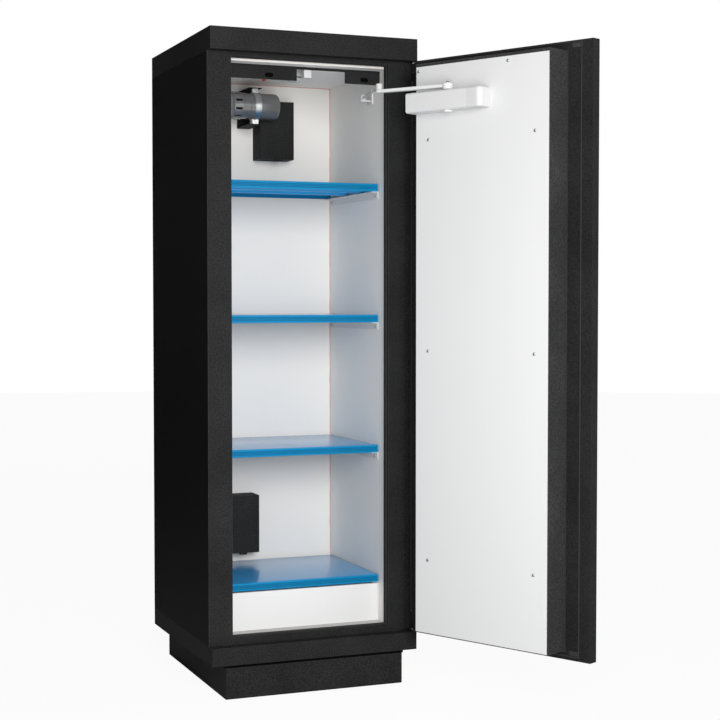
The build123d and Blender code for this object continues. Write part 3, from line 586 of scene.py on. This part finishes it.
def solids_of(node):
    """The middle of each separate solid of a CAD node, with its lowest and highest corner."""
    form = bmesh.new()
    form.from_mesh(nodes[node].data)
    bmesh.ops.remove_doubles(form, verts=form.verts, dist=weld_gap)
    left = set(form.verts)
    found = []
    while left:
        group = set()
        front_line = [left.pop()]
        while front_line:
            vertex = front_line.pop()
            group.add(vertex)
            for edge in vertex.link_edges:
                other = edge.other_vert(vertex)
                if other in left:
                    left.discard(other)
                    front_line.append(other)
        low, high = span([vertex.co for vertex in group])
        found.append(((low + high) / 2, low, high))
    form.free()
    return sorted(found, key=lambda solid: tuple(solid[0]))


def ribbed_ring(form, outline, section, pose):
    """Sweeps a section, as (inward, along Y) pairs, round a rectangle in the XZ plane."""
    (x0, z0), (x1, z1) = outline
    corners = ((x0, z0, 1, 1), (x1, z0, -1, 1), (x1, z1, -1, -1), (x0, z1, 1, -1))
    rings = []
    for x, z, inward_x, inward_z in corners:
        spots = [(x + inward_x * u, v, z + inward_z * u) for u, v in section]
        rings.append([form.verts.new(pose @ Vector(spot)) for spot in spots])
    join_rings(form, rings + rings[:1], ends=False)


seal_strip = strip_finish()
low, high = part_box("frame_seal")
seal_thickness = 0.002
valley = seal_thickness * 0.5
rib = (high[1] - low[1]) / (2 * strip_ribs)
section = [(0, low[1]), (valley, low[1])]
for k in range(strip_ribs):
    start = low[1] + 2 * k * rib
    section += [(seal_thickness, start + 0.3 * rib), (seal_thickness, start + 1.3 * rib)]
    section.append((valley, start + 1.6 * rib))
section += [(valley, high[1]), (0, high[1])]
strip_form = bmesh.new()
ribbed_ring(strip_form, ((low[0], low[2]), (high[0], high[2])), section, Matrix())
add_form("frame_seal_strip", strip_form, "cabinet", [seal_strip], ["frame_seal"])

outer_low, outer_high = shut_box("door_seals")
block_low, block_high = shut_box("door_block")
near = outer_low[1]
far = outer_high[1]
seal_width = 0.004
seal_corner = 0.0008
seal_edge = 0.0006
block_seal_gap = 0.0025
bulb = [
    (0, near), (0, far - seal_edge), (seal_corner, far), (seal_width - seal_corner, far),
    (seal_width, far - seal_edge), (seal_width, near),
]
bead = [(0, near), (0.0003, far - 0.0005), (0.0012, far), (0.0024, near)]
leaf_outline = ((outer_low[0], outer_low[2]), (outer_high[0], outer_high[2]))
block_outline = (
    (block_low[0] - block_seal_gap, block_low[2] - block_seal_gap),
    (block_high[0] + block_seal_gap, block_high[2] + block_seal_gap),
)
door_strips = bmesh.new()
ribbed_ring(door_strips, leaf_outline, bulb, door_pose)
ribbed_ring(door_strips, block_outline, bead, door_pose)
add_form("door_seal_strips", door_strips, "door", [seal_strip], ["door_seals"])


# A black rubber lip, pressed on along the hinge side of the frame, closes the gap behind the leaf's edge.
# It stands higher beside the upper half of each hinge, where the leaf is notched.
def rubber():
    finish = Finish("black_rubber")
    bloom = finish.noise(120, detail=3.0)
    colour = finish.blend(bloom, grey(0.010), grey(0.018))
    return finish.surface(Base_Color=colour, Roughness=0.6 + 0.1 * bloom, Specular_IOR_Level=0.2)


lip_gap = 0.001
lip_height = 0.006
lip_width = 0.0055
lip_set_back = 0.0005
tall_lip_height = 0.0125
end_lip_height = 0.022
recess_depth = 0.006
tall_lip_sink = 0.003
leaf_strip = 0.0023
frame_low, frame_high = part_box("front_frame")
recess_face = frame_low[1] + recess_depth
tall_lip_foot = recess_face - tall_lip_sink
lip_outer = frame_high[0] - lip_set_back
lip_inner = lip_outer - lip_width
hinge_lip = bmesh.new()


def lip_run(foot, height, z0, z1):
    """A length of the lip, with a rounded crest."""
    middle = (lip_inner + lip_outer) / 2
    half = (lip_outer - lip_inner) / 2
    crest = foot - height + half
    plan = [(lip_inner, foot)]
    for degrees in range(180, 361, 30):
        turn = radians(degrees)
        plan.append((middle + half * cos(turn), crest + half * sin(turn)))
    plan.append((lip_outer, foot))
    join_rings(hinge_lip, [[hinge_lip.verts.new((x, y, z)) for x, y in plan] for z in (z0, z1)])


bracket_spans = sorted((low[2], high[2]) for middle, low, high in solids_of("hinge_brackets"))
(lower_foot, lower_top), (upper_foot, upper_top) = bracket_spans
lip_run(recess_face, lip_height, lower_top + lip_gap, upper_foot - lip_gap)
lip_run(recess_face, lip_height, band_top + lip_gap / 2, lower_foot - lip_gap / 2)
lip_run(recess_face, lip_height, upper_top + lip_gap / 2, cap_foot - lip_gap / 2)
lip_run(tall_lip_foot, end_lip_height, band_top + lip_gap / 2, lower_foot - leaf_strip)
lip_run(tall_lip_foot, end_lip_height, upper_top + leaf_strip, cap_foot - lip_gap / 2)
lip_run(tall_lip_foot, tall_lip_height, (lower_foot + lower_top) / 2 + lip_gap, lower_top)
lip_run(tall_lip_foot, tall_lip_height, (upper_foot + upper_top) / 2 + lip_gap, upper_top)
add_form("hinge_side_lip", hinge_lip, "cabinet", [rubber()])


# The insulation: pale fibre boards, cut to size, behind the skins and liners and in the door. They are seen
# only where they end.
def fibre_board():
    finish = Finish("fibre_board")
    fibres = finish.noise(300, detail=5.0, stretch=(1, 1, 0.3))
    cloud = finish.noise(12)
    colour = finish.blend(0.6 * fibres + 0.4 * cloud, (0.60, 0.57, 0.52, 1), (0.76, 0.74, 0.70, 1))
    return finish.surface(
        Base_Color=colour,
        Roughness=0.85 + 0.1 * fibres,
        Normal=finish.bump(fibres, 0.0003),
    )


def coat(names, finish):
    """Gives CAD nodes whose form stays as it is their finish."""
    for name in names:
        slots = nodes[name].data.materials
        slots.clear()
        slots.append(finish)


boards = [f"insulation_{side}" for side in ("left", "right", "back", "top", "bottom")]
coat((*boards, "door_core"), fibre_board())


# The room's liners: white melamine-faced board, matt, with a very fine print of the press plate. Beads of
# red fire sealant close their joints in the rear corners.
def melamine(name, level):
    """White facing, a little warm, with the plate's print in its sheen."""
    finish = Finish(name)
    print_grain = finish.noise(1400, detail=1.0)
    cloud = finish.noise(3)
    warm = (level * 0.97, level * 0.94, level * 0.90, 1)
    pale = (level, level * 0.97, level * 0.93, 1)
    return finish.surface(
        Base_Color=finish.blend(cloud, warm, pale),
        Roughness=0.42 + 0.1 * print_grain,
        Specular_IOR_Level=0.35,
        Normal=finish.bump(print_grain, 0.00002),
    )


white_board = melamine("melamine", level=0.87)
for node in ("liner_left", "liner_right", "liner_ceiling"):
    soften(node, [white_board], radius=0.0004)
# The floor and rear liners are darker copies of the same board: painted shade.
soften("liner_floor", [melamine("melamine_floor_painted_shade", level=0.50)], radius=0.0004)
soften("liner_back", [melamine("melamine_back_painted_shade", level=0.745)], radius=0.0004)


def sealant_finish():
    finish = Finish("sealant")
    smear = finish.noise(60, detail=4.0)
    colour = finish.blend(smear, (0.66, 0.34, 0.29, 1), (0.55, 0.22, 0.18, 1))
    return finish.surface(
        Base_Color=colour,
        Roughness=0.45 + 0.15 * smear,
        Normal=finish.bump(smear, 0.0002),
    )


def bead_of_sealant(form, start, end, first, second, leg):
    """A fillet along a corner, with a hollow face. Its legs lie along the two walls and waver a little."""
    way = Vector(end) - Vector(start)
    steps = max(2, ceil(way.length / sealant_step))
    first_leg = Vector(first)
    second_leg = Vector(second)
    rings = []
    for k in range(steps + 1):
        foot = Vector(start) + way * k / steps
        reach = leg * (1 + 0.18 * sin(k * 1.7) + 0.1 * sin(k * 0.61))
        hollow = foot + (first_leg + second_leg) * reach * sealant_hollow
        points = (foot, foot + first_leg * reach, hollow, foot + second_leg * reach)
        rings.append([form.verts.new(point) for point in points])
    join_rings(form, rings)


sealant_leg = 0.0017
sealant_step = 0.02
sealant_hollow = 0.38
room_left = plate_low[0]
room_right = plate_high[0]
room_top = plate_high[2]
room_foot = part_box("kick_panel")[0][2]
room_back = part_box("liner_back")[0][1]
sealant = bmesh.new()
for start, end, first, second in (
    ((room_left, room_back, room_top), (room_right, room_back, room_top), (0, -1, 0), (0, 0, -1)),
    ((room_right, room_back, room_foot), (room_right, room_back, room_top), (0, -1, 0), (-1, 0, 0)),
    ((room_left, room_back, room_foot), (room_left, room_back, room_top), (0, -1, 0), (1, 0, 0)),
):
    bead_of_sealant(sealant, start, end, first, second, sealant_leg)
add_form("sealant_beads", sealant, "cabinet", [sealant_finish()])


# White-painted sheet: the kick panel, the shelf rails and the door's inner panel, folded from thin steel
# and held by screws.
def enamel(name, level, rough=0.42):
    """Smooth white paint with a faint orange peel."""
    finish = Finish(name)
    peel = finish.noise(260, detail=1.0)
    cloud = finish.noise(4)
    colour = finish.blend(cloud, grey(level * 0.985), grey(level))
    return finish.surface(
        Base_Color=colour,
        Roughness=rough + 0.08 * cloud,
        Specular_IOR_Level=0.35,
        Normal=finish.bump(peel, 0.00003),
    )


white_enamel = enamel("white_enamel", level=0.71)
for node in ("kick_panel", "shelf_rails"):
    soften(node, [white_enamel], radius=0.0004)
soften("door_inner_panel", [enamel("door_enamel", level=0.68)], radius=0.0004)


# The shelves: trays folded from perforated sheet and coated in blue powder, with rows of small holes in the
# front fold and all over the pan. The pan and the ribs under it take a paler blue than the folds, painted
# light on their shaded undersides; the pan's holes are painted as dark spots, painted shade.
hole_pitch = 0.005
hole_row = 0.0043
hole_radius = 0.0017
sheet = 0.0012
shelf_bend = 0.003
shelf_lip = 0.012
rib_shares = (0.3, 0.62)
rib_profile = ((-0.020, 0), (-0.012, 0), (-0.010, -0.017), (0.010, -0.017), (0.012, 0), (0.020, 0))
rib_end_gap = 0.002
strip_set_back = 0.005
blue = (0.003, 0.205, 0.430)
# A paler blue for the pan and ribs: painted light on their shaded undersides.
lit_pan_blue = (0.020, 0.330, 0.700)


def toned(colour, share):
    """A colour with each channel raised or lowered by a share."""
    return (*(channel * share for channel in colour), 1)


def blue_coat(name, base=blue, pierced=0, mirror=0.12, clear=0.05):
    """Blue powder. Where it is pierced, the rows of holes are painted shade: darker spots, sunk in the
    sheet.
    """
    finish = Finish(name)
    cloud = finish.noise(14)
    peel = finish.noise(500, detail=1.0)
    colour = finish.blend(cloud, toned(base, 1), toned(base, 1.1))
    height = 0.1 * peel
    if pierced:
        rows = finish.place("Y") * (1 / hole_row)
        row = rows.math("FLOOR", rows)
        shift = 0.5 * row.math("MODULO", row.math("ABSOLUTE", row), 2.0)
        columns = finish.place("X") * (1 / hole_pitch) + shift
        across = (columns.math("FRACT", columns) - 0.5) * hole_pitch
        along = (rows.math("FRACT", rows) - 0.5) * hole_row
        reach = across * across + along * along
        open_spot = reach < pierced ** 2
        # The holes are painted as darker spots: painted shade for the open holes.
        colour = finish.blend(open_spot, colour, toned(base, 0.45))
        height = 0.1 * peel - open_spot
    return finish.surface(
        Base_Color=colour,
        Roughness=0.30 + 0.08 * cloud,
        Specular_IOR_Level=mirror,
        Coat_Weight=clear,
        Coat_Roughness=0.10,
        Normal=finish.bump(height, 0.0003),
    )


blue_fold = blue_coat("blue_fold")
# The pan and the ribs take the paler blue, painted light; the pan's holes are painted shade.
pan_light_and_hole_shade = blue_coat("pan_light_and_hole_shade", base=lit_pan_blue, pierced=0.0013, mirror=0.5, clear=0.7)
painted_light_rib = blue_coat("painted_light_rib", base=lit_pan_blue)
# A near-black blue for the strip behind the pierced fold: painted shade seen through its holes.
blue_painted_shade = blue_coat("blue_painted_shade", base=(0.001, 0.020, 0.050))


def pierced_strip(form, low, high, place):
    """A flat strip with staggered rows of round holes. place(u, v) gives the point for a spot on it."""
    width = high[0] - low[0]
    height = high[1] - low[1]
    rows = int((height - hole_row * 0.4) / hole_row)
    columns = int(width / hole_pitch) - 1
    left = low[0] + (width - columns * hole_pitch) / 2
    foot = low[1] + (height - rows * hole_row) / 2
    spots = {}

    def vertex(u, v):
        key = (round(u, 6), round(v, 6))
        if key not in spots:
            spots[key] = form.verts.new(place(u, v))
        return spots[key]

    def patch(points):
        form.faces.new([vertex(u, v) for u, v in points])

    for row in range(rows):
        v0 = foot + row * hole_row
        v1 = foot + (row + 1) * hole_row
        centre = (v0 + v1) / 2
        shift = (row % 2) * hole_pitch / 2
        count = columns - row % 2
        for column in range(count):
            u0 = left + shift + column * hole_pitch
            u1 = u0 + hole_pitch
            middle = u0 + hole_pitch / 2
            outline = ((u1, v1), (middle, v1), (u0, v1), (u0, v0), (middle, v0), (u1, v0))
            turns = [radians(30 * k) for k in range(12)]
            ring = [(middle + hole_radius * cos(turn), centre + hole_radius * sin(turn)) for turn in turns]
            for k in range(6):
                near_spot = ring[2 * k + 1]
                far_spot = ring[(2 * k + 3) % 12]
                patch((outline[k], outline[(k + 1) % 6], far_spot, ring[(2 * k + 2) % 12], near_spot))
        right = left + shift + count * hole_pitch
        patch(((low[0], v0), (left + shift, v0), (left + shift, v1), (low[0], v1)))
        patch(((right, v0), (high[0], v0), (high[0], v1), (right, v1)))
    half = hole_pitch / 2
    for v0, v1 in ((low[1], foot), (foot + rows * hole_row, high[1])):
        stops = [low[0]] + [left + k * half for k in range(2 * columns + 1)] + [high[0]]
        for u0, u1 in zip(stops, stops[1:]):
            patch(((u0, v0), (u1, v0), (u1, v1), (u0, v1)))


def bent_sheet(form, x, section, finish_of):
    """A sheet folded along X, without thickness: its middle line as (y, z) points."""
    lines = []
    for y, z in section:
        lines.append([form.verts.new((x[0], y, z)), form.verts.new((x[1], y, z))])
    for k, (here, there) in enumerate(zip(lines, lines[1:])):
        face = form.faces.new((here[0], here[1], there[1], there[0]))
        face.material_index = finish_of(k)


def quarter(centre, radius, first, last, steps=4):
    """Points on an arc in the YZ plane, between two angles in degrees."""
    turns = [radians(first + (last - first) * k / steps) for k in range(steps + 1)]
    return [(centre[0] + radius * cos(turn), centre[1] + radius * sin(turn)) for turn in turns]


def shelf_mesh(node):
    """A shelf's tray: the pierced front fold, the pan, in its second finish, and the rear fold."""
    (x0, y0, z0), (x1, y1, z1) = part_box(node)
    half = sheet / 2
    inner = shelf_bend - half
    front = y0 + half
    rear = y1 - half
    top = z1 - half
    foot = z0 + half
    upper = quarter((front + inner, top - inner), inner, 180, 90)
    far = quarter((rear - inner, top - inner), inner, 90, 0)
    lower = quarter((front + inner, foot + inner), inner, 270, 180)
    under = quarter((rear - inner, foot + inner), inner, 0, -90)
    pan = len(upper) - 1
    form = bmesh.new()
    bent_sheet(form, (x0, x1), [(y0 + shelf_lip, foot)] + lower, lambda k: 0)
    bent_sheet(form, (x0, x1), upper + far, lambda k: 1 if k == pan else 0)
    bent_sheet(form, (x0, x1), [far[-1]] + under + [(y1 - shelf_lip, foot)], lambda k: 0)
    pierced_strip(form, (x0, lower[-1][1]), (x1, upper[0][1]), lambda u, v: (u, front, v))
    bmesh.ops.remove_doubles(form, verts=form.verts, dist=1e-6)
    bmesh.ops.recalc_face_normals(form, faces=form.faces)
    return plain_mesh(node + "_tray", form, smooth_below=30)


def thicken(piece, depth):
    """Gives an open sheet its thickness, half to each side."""
    skin = piece.modifiers.new("thickness", "SOLIDIFY")
    skin.thickness = depth
    skin.offset = 0.0


def stiffener_mesh(node):
    """Two hat channels under the pan, side to side, and a dark strip behind the pierced fold: painted
    shade.
    """
    (x0, y0, z0), (x1, y1, z1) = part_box(node)
    ends = (x0 + rib_end_gap, x1 - rib_end_gap)
    crown = z1 - sheet * 1.5
    form = bmesh.new()
    for share in rib_shares:
        y = y0 + share * (y1 - y0)
        bent_sheet(form, ends, [(y + dy, crown + dz) for dy, dz in rib_profile], lambda k: 0)
    # The dark strip behind the front fold, in the second finish: painted shade in the fold's holes.
    behind = y0 + strip_set_back
    bent_sheet(form, ends, [(behind, z1 - 2 * sheet), (behind, z0 + 2 * sheet)], lambda k: 1)
    bmesh.ops.recalc_face_normals(form, faces=form.faces)
    return plain_mesh(node + "_stiffeners", form, smooth_below=30)


for number in range(1, 5):
    node = f"shelf_{number}"
    for name, mesh, finishes, stands_for in (
        (node + "_stiffeners", stiffener_mesh(node), [painted_light_rib, blue_painted_shade], []),
        (node + "_tray", shelf_mesh(node), [blue_fold, pan_light_and_hole_shade], [node]),
    ):
        thicken(add_piece(name, mesh, "cabinet", finishes, stands_for), sheet)


# The screws of the shelf rails and of the door's inner panel: zinc-plated pan heads with a cross recess,
# driven through the sheet into the board behind it.
rail_heads = bmesh.new()
for middle, low, high in solids_of("rail_screws"):
    side = 1 if middle.x > 0 else -1
    wall = high.x if side > 0 else low.x
    screw_head(rail_heads, (wall, middle.y, middle.z), (-side, 0, 0), (high.z - low.z) / 2, high.x - low.x)
add_form("rail_screw_heads", rail_heads, "cabinet", [zinc_plate], ["rail_screws"])

panel_heads = bmesh.new()
panel_face = shut_box("door_inner_panel")[1][1]
inward = door_pose.to_3x3() @ Vector((0, 1, 0))
head_height = shut_box("panel_screws")[1][1] - panel_face
for middle, low, high in solids_of("panel_screws"):
    foot = middle - inward * head_height / 2
    screw_head(panel_heads, foot, inward, (high.z - low.z) / 2, head_height)
add_form("panel_screw_heads", panel_heads, "door", [zinc_plate], ["panel_screws"])


# The air boxes on the rear wall: black covers folded from thin sheet over the duct mouths, each with a
# small tab below by which it is unhooked.
tab_share = 0.54
tab_half = 0.011
tab_drop = 0.005
tab_depth = 0.010
tab_set_back = 0.006
tab_bite = 0.0005
tabs = bmesh.new()
for node in ("air_outlet_box", "air_inlet_box"):
    soften(node, black_coat, radius=0.0005)
    (x0, y0, z0), (x1, y1, z1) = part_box(node)
    middle = x0 + tab_share * (x1 - x0)
    spot = Matrix.Translation((middle, y0 + tab_set_back, z0 + tab_bite - tab_drop / 2))
    shape = Matrix.Diagonal((2 * tab_half, tab_depth, tab_drop + 2 * tab_bite, 1))
    bmesh.ops.create_cube(tabs, size=1.0, matrix=spot @ shape)
add_form("air_box_tabs", tabs, "cabinet", [black_powder])


# The air ducts behind the rear liner and their two spigots on the roof: galvanised sheet, folded and
# rolled, through which the room is vented.
def galvanised():
    """Hot-dip galvanised sheet with its spangle of pale and dark crystals."""
    finish = Finish("galvanised")
    values = {"Vector": finish.place(), "Scale": 110.0}
    crystals = finish.add("ShaderNodeTexVoronoi", values=values, output="Color")
    tone = finish.add("ShaderNodeSeparateColor", values={0: crystals})
    colour = finish.blend(tone, (0.42, 0.44, 0.46, 1), (0.62, 0.64, 0.66, 1))
    return finish.surface(Base_Color=colour, Metallic=1.0, Roughness=0.30 + 0.18 * tone)


galvanised_sheet = galvanised()
coat(("air_ducts",), galvanised_sheet)
soften("air_spigots", [galvanised_sheet], radius=0.0004)


# The extinguishing unit: a brushed steel can that lies in a plated clamp on a black bracket, with a slotted
# nozzle head at its left end. The clamp's ears are drawn together by two bolts.
def turned_steel(name, level, grain_axis, metal=1.0):
    """Steel brushed round its axis, so that the grain runs round it. A lacquered one is less metallic."""
    finish = Finish(name)
    stretch = tuple(1.0 if axis == grain_axis else 0.02 for axis in "XYZ")
    grain = finish.noise(2600, detail=3.0, stretch=stretch)
    cloud = finish.noise(30)
    colour = finish.blend(0.6 * grain + 0.4 * cloud, grey(level * 0.7), grey(level))
    return finish.surface(
        Base_Color=colour,
        Metallic=metal,
        Roughness=0.18 + 0.10 * grain,
        Normal=finish.bump(grain, 0.00001),
    )


can_steel = turned_steel("can_steel", level=0.25, grain_axis="X", metal=0.6)
can_sides = 72
groove_depth = 0.0008
shoulder = ((0.001, 0.006), (0.003, 0.003), (0.0055, 0.0005), (0.008, 0), (0.010, 0.0008), (0.0105, 0.003))
end_dish = 0.0025
(can_left, can_front, can_low), (can_right, can_back, can_high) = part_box("aerosol_can")
can_radius = (can_high - can_low) / 2
can_length = can_right - can_left
can_axis = Vector((can_left, (can_front + can_back) / 2, (can_low + can_high) / 2))
along_x = Matrix.Translation(can_axis) @ Matrix.Rotation(radians(90), 4, "Y")
can_profile = [
    (0, 0), (can_radius * 0.97, 0), (can_radius, 0.0012), (can_radius, 0.024),
    (can_radius - groove_depth, 0.025), (can_radius - groove_depth, 0.027), (can_radius, 0.028),
    (can_radius, can_length - 0.009),
]
can_profile += [(can_radius - inset, can_length - drop) for inset, drop in shoulder]
can_profile.append((0, can_length - end_dish))
can_form = bmesh.new()
turned_form(can_form, can_profile, along_x, can_sides)
add_form("aerosol_can_body", can_form, "cabinet", [can_steel], ["aerosol_can"])
nozzle_steel = turned_steel("nozzle_steel", level=0.30, grain_axis="X", metal=0.6)
soften("aerosol_nozzle", [nozzle_steel], radius=0.0005)

flange_edge = 0.0003
flange_width = 0.003
flange_slope = 0.004
flange_height = 0.0013
ear_split = 0.002
ear_thickness = 0.004
ear_root = 0.001
ear_chamfer = 0.002
(clamp_x0, clamp_y0, clamp_z0), (clamp_x1, clamp_y1, clamp_z1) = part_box("aerosol_clamp")
band_radius = (clamp_y1 - clamp_y0) / 2
clamp_width = clamp_x1 - clamp_x0
waist = band_radius - flange_height
clamp_profile = (
    (can_radius, 0), (band_radius, flange_edge), (band_radius, flange_width), (waist, flange_slope),
    (waist, clamp_width - flange_slope), (band_radius, clamp_width - flange_width),
    (band_radius, clamp_width - flange_edge), (can_radius, clamp_width), (can_radius, 0),
)
clamp_form = bmesh.new()
at_clamp = Matrix.Translation((clamp_x0 - can_left, 0, 0)) @ along_x
turned_form(clamp_form, clamp_profile, at_clamp, can_sides)
for side in (-1, 1):
    root = can_axis.z + side * (band_radius - ear_root)
    tip = clamp_z1 if side > 0 else clamp_z0
    for half in (-1, 1):
        y0 = can_axis.y + half * ear_split / 2
        y1 = y0 + half * ear_thickness
        rings = []
        for z, inset in ((root, 0), (tip - side * ear_chamfer, 0), (tip, ear_chamfer)):
            x0 = clamp_x0 + inset
            x1 = clamp_x1 - inset
            plan = ((x0, y0), (x1, y0), (x1, y1), (x0, y1))
            rings.append([clamp_form.verts.new((x, y, z)) for x, y in plan])
        join_rings(clamp_form, rings)
bmesh.ops.remove_doubles(clamp_form, verts=clamp_form.verts, dist=1e-7)
bright_zinc = zinc("bright_zinc", level=0.72, rough=0.26)
add_form("aerosol_clamp_band", clamp_form, "cabinet", [bright_zinc], ["aerosol_clamp"])
soften("aerosol_bracket", black_coat, radius=0.0005)

clamp_heads = bmesh.new()
for middle, low, high in solids_of("clamp_bolts"):
    side = 1 if middle.y > can_axis.y else -1
    face = low.y if side > 0 else high.y
    pose = facing((middle.x, face, middle.z), (0, side, 0))
    radius = (high.z - low.z) / 2
    tall = high.y - low.y
    head_profile = ((radius, 0), (radius, tall * 0.75), (radius * 0.85, tall), (0, tall))
    turned_form(clamp_heads, head_profile, pose, segments=6)
add_form("clamp_bolt_heads", clamp_heads, "cabinet", [bright_zinc], ["clamp_bolts"])


# The detectors under the ceiling: a white smoke detector with a ring of vents, its contact box and a heat
# probe, of moulded plastic.
def moulded(name, colour, rough=0.38):
    """Moulded plastic: an even colour with a fine spark-eroded grain."""
    finish = Finish(name)
    grain = finish.noise(900, detail=2.0)
    cloud = finish.noise(20)
    shade = finish.blend(cloud, toned(colour, 1), toned(colour, 0.93))
    return finish.surface(
        Base_Color=shade,
        Roughness=rough + 0.1 * grain,
        Normal=finish.bump(grain, 0.00004),
    )


white_plastic = moulded("white_plastic", (0.56, 0.56, 0.55))
vent_black = moulded("vent_black", (0.02, 0.02, 0.02), rough=0.6)
detector_profile = (
    (0, 0), (1, 0), (1, 0.28), (0.97, 0.33), (0.86, 0.35), (0.84, 0.50), (0.70, 0.51),
    (0.70, 0.62), (0.80, 0.63), (0.76, 0.80), (0.62, 0.94), (0.40, 1), (0, 1),
)
vent_reach = 0.79
vent_low = 0.505
vent_high = 0.625
(dx0, dy0, dz0), (dx1, dy1, dz1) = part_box("smoke_detector")
detector_radius = (dx1 - dx0) / 2
detector_height = dz1 - dz0
detector_rings = [(detector_radius * out, detector_height * down) for out, down in detector_profile]
detector_pose = Matrix.Translation(((dx0 + dx1) / 2, (dy0 + dy1) / 2, dz1)) @ Matrix.Rotation(pi, 4, "X")
detector_form = bmesh.new()
turned_form(detector_form, detector_rings, detector_pose, segments=64)
for face in detector_form.faces:
    spot = detector_pose.inverted() @ face.calc_center_median()
    drawn_in = spot.xy.length < detector_radius * vent_reach
    if drawn_in and vent_low < spot.z / detector_height < vent_high:
        face.material_index = 1
add_form("smoke_detector_body", detector_form, "cabinet",
         [white_plastic, vent_black], ["smoke_detector"])
soften("contact_box", [white_plastic], radius=0.0006)


# Two short white straps carry the detector's leads from the contact box back along the ceiling. They are
# flexible plastic, clipped a little lower at both ends.
strap_width = 0.0045
strap_thickness = 0.0022
strap_inset = 0.004
strap_lap = 0.002
strap_stops = (0, 0.08, 0.16, 0.84, 0.92, 1)
strap_end_drop = 0.009
strap_drop = 0.0045
left_strap_end = (0.012, 0.014)
right_strap_end = (0.016, 0.010)
contact_low, contact_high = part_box("contact_box")
strap_start = contact_high[1] - strap_lap
straps = bmesh.new()
for start, end in (
    ((contact_low[0] + strap_inset, strap_start), (dx0 + left_strap_end[0], dy0 + left_strap_end[1])),
    ((contact_high[0] - strap_inset, strap_start), (dx1 - right_strap_end[0], dy0 + right_strap_end[1])),
):
    way = Vector((end[0] - start[0], end[1] - start[1], 0))
    aside = way.normalized().cross(Vector((0, 0, 1))) * strap_width / 2
    up = Vector((0, 0, strap_thickness / 2))
    rings = []
    for share in strap_stops:
        drop = strap_drop if 0.1 < share < 0.9 else strap_end_drop
        foot = Vector((*start, dz1 - drop)) + way * share
        corners = (aside - up, aside + up, up - aside, -aside - up)
        rings.append([straps.verts.new(foot + corner) for corner in corners])
    join_rings(straps, rings)
add_form("detector_straps", straps, "cabinet", [white_plastic])


# The heat probe: a moulded grey plastic rod with a red bulb at its left end, clipped under the ceiling. The
# two are one piece here, and the finish divides them.
bulb_length = 0.011
probe_finish = Finish("probe")
tip = probe_finish.place("X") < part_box("heat_probe")[0][0] + bulb_length
shade = probe_finish.blend(probe_finish.noise(200), grey(0.30), grey(0.42))
shade = probe_finish.blend(tip, shade, (0.45, 0.04, 0.03, 1))
probe_coat = probe_finish.surface(Base_Color=shade, Roughness=0.35 + 0.1 * tip)
soften("heat_probe", [probe_coat], radius=0.0003)


# The door: a black leaf folded from sheet, and behind it the dark grey casing of the insulated block that
# fills the opening when it is shut, with the guides of the two bolts.
grey_powder = powder("grey_powder", level=0.034, rough=0.45)
soften("door_leaf", black_coat, radius=0.0016, steps=3)
# A paler grey for the block's rounded edges: a painted highlight along them.
grey_highlight_edge = powder("grey_powder_painted_highlight", level=0.075, rough=0.42, grain=0.00004)
soften("door_block", [grey_powder, grey_highlight_edge], radius=0.0018)
soften("bolt_guides", [grey_powder], radius=0.0004)


# The hinges: black steel brackets on the frame and knuckles on the door, which sit in the leaf's notches
# and turn on steel pins, coloured far darker than plated steel: painted shade that takes away their glint.
for node in ("hinge_brackets", "hinge_knuckles"):
    soften(node, black_coat, radius=0.0004)
# Dark plating on the pins: painted shade that takes away their glint.
soften("hinge_pins", [zinc("darkened_pin_steel", level=0.12)], radius=0.0003)


# The door closer: a body and end cap on the door's inner panel, a flat arm on its spindle, a round forearm
# and the shoe that holds it in the room. All are cast or turned, and painted white.
closer_paint = enamel("closer_paint", level=0.66)
soften("closer_body", [closer_paint], radius=0.0012, steps=3)
soften("closer_cap", [enamel("cap_paint", level=0.60, rough=0.5)], radius=0.0012, steps=3)
soften("closer_arm", [enamel("arm_paint", level=0.66)], radius=0.0006)
soften("closer_shoe", [enamel("shoe_paint", level=0.60)], radius=0.0006)
soften("closer_forearm", [enamel("forearm_paint", level=0.55)], radius=0.0005)


# A dark cross-headed screw holds the arm on the closer's spindle. It is of steel, hardened and blackened.
hub_screw_radius = 0.0048
hub_screw_height = 0.0028
hub_reach = 0.016
spindle = Vector(joint_named("closer_arm_turn")["pos_m"])
arm_spots = [vertex.co for vertex in nodes["closer_arm"].data.vertices]
hub_top = max(spot.z for spot in arm_spots if (spot.xy - spindle.xy).length < hub_reach)
arm_screw = bmesh.new()
screw_head(arm_screw, (spindle.x, spindle.y, hub_top), (0, 0, 1), hub_screw_radius, hub_screw_height)
add_form("arm_screw", arm_screw, "arm", [zinc("dark_screw", level=0.10)])


# The lock: a plated case and two bolts inside the leaf, and outside it a black rose and lever of moulded
# plastic, with a turned nickel plug.
coat(("lock_case", "bolt_top", "bolt_bottom"), zinc_plate)
black_plastic = moulded("black_plastic", (0.018, 0.018, 0.019), rough=0.34)
soften("handle_rose", [black_plastic], radius=0.0012, steps=3)
soften("door_handle", [black_plastic], radius=0.0006)
soften("key_plug", [turned_steel("nickel", level=0.62, grain_axis="Z")], radius=0.0004)
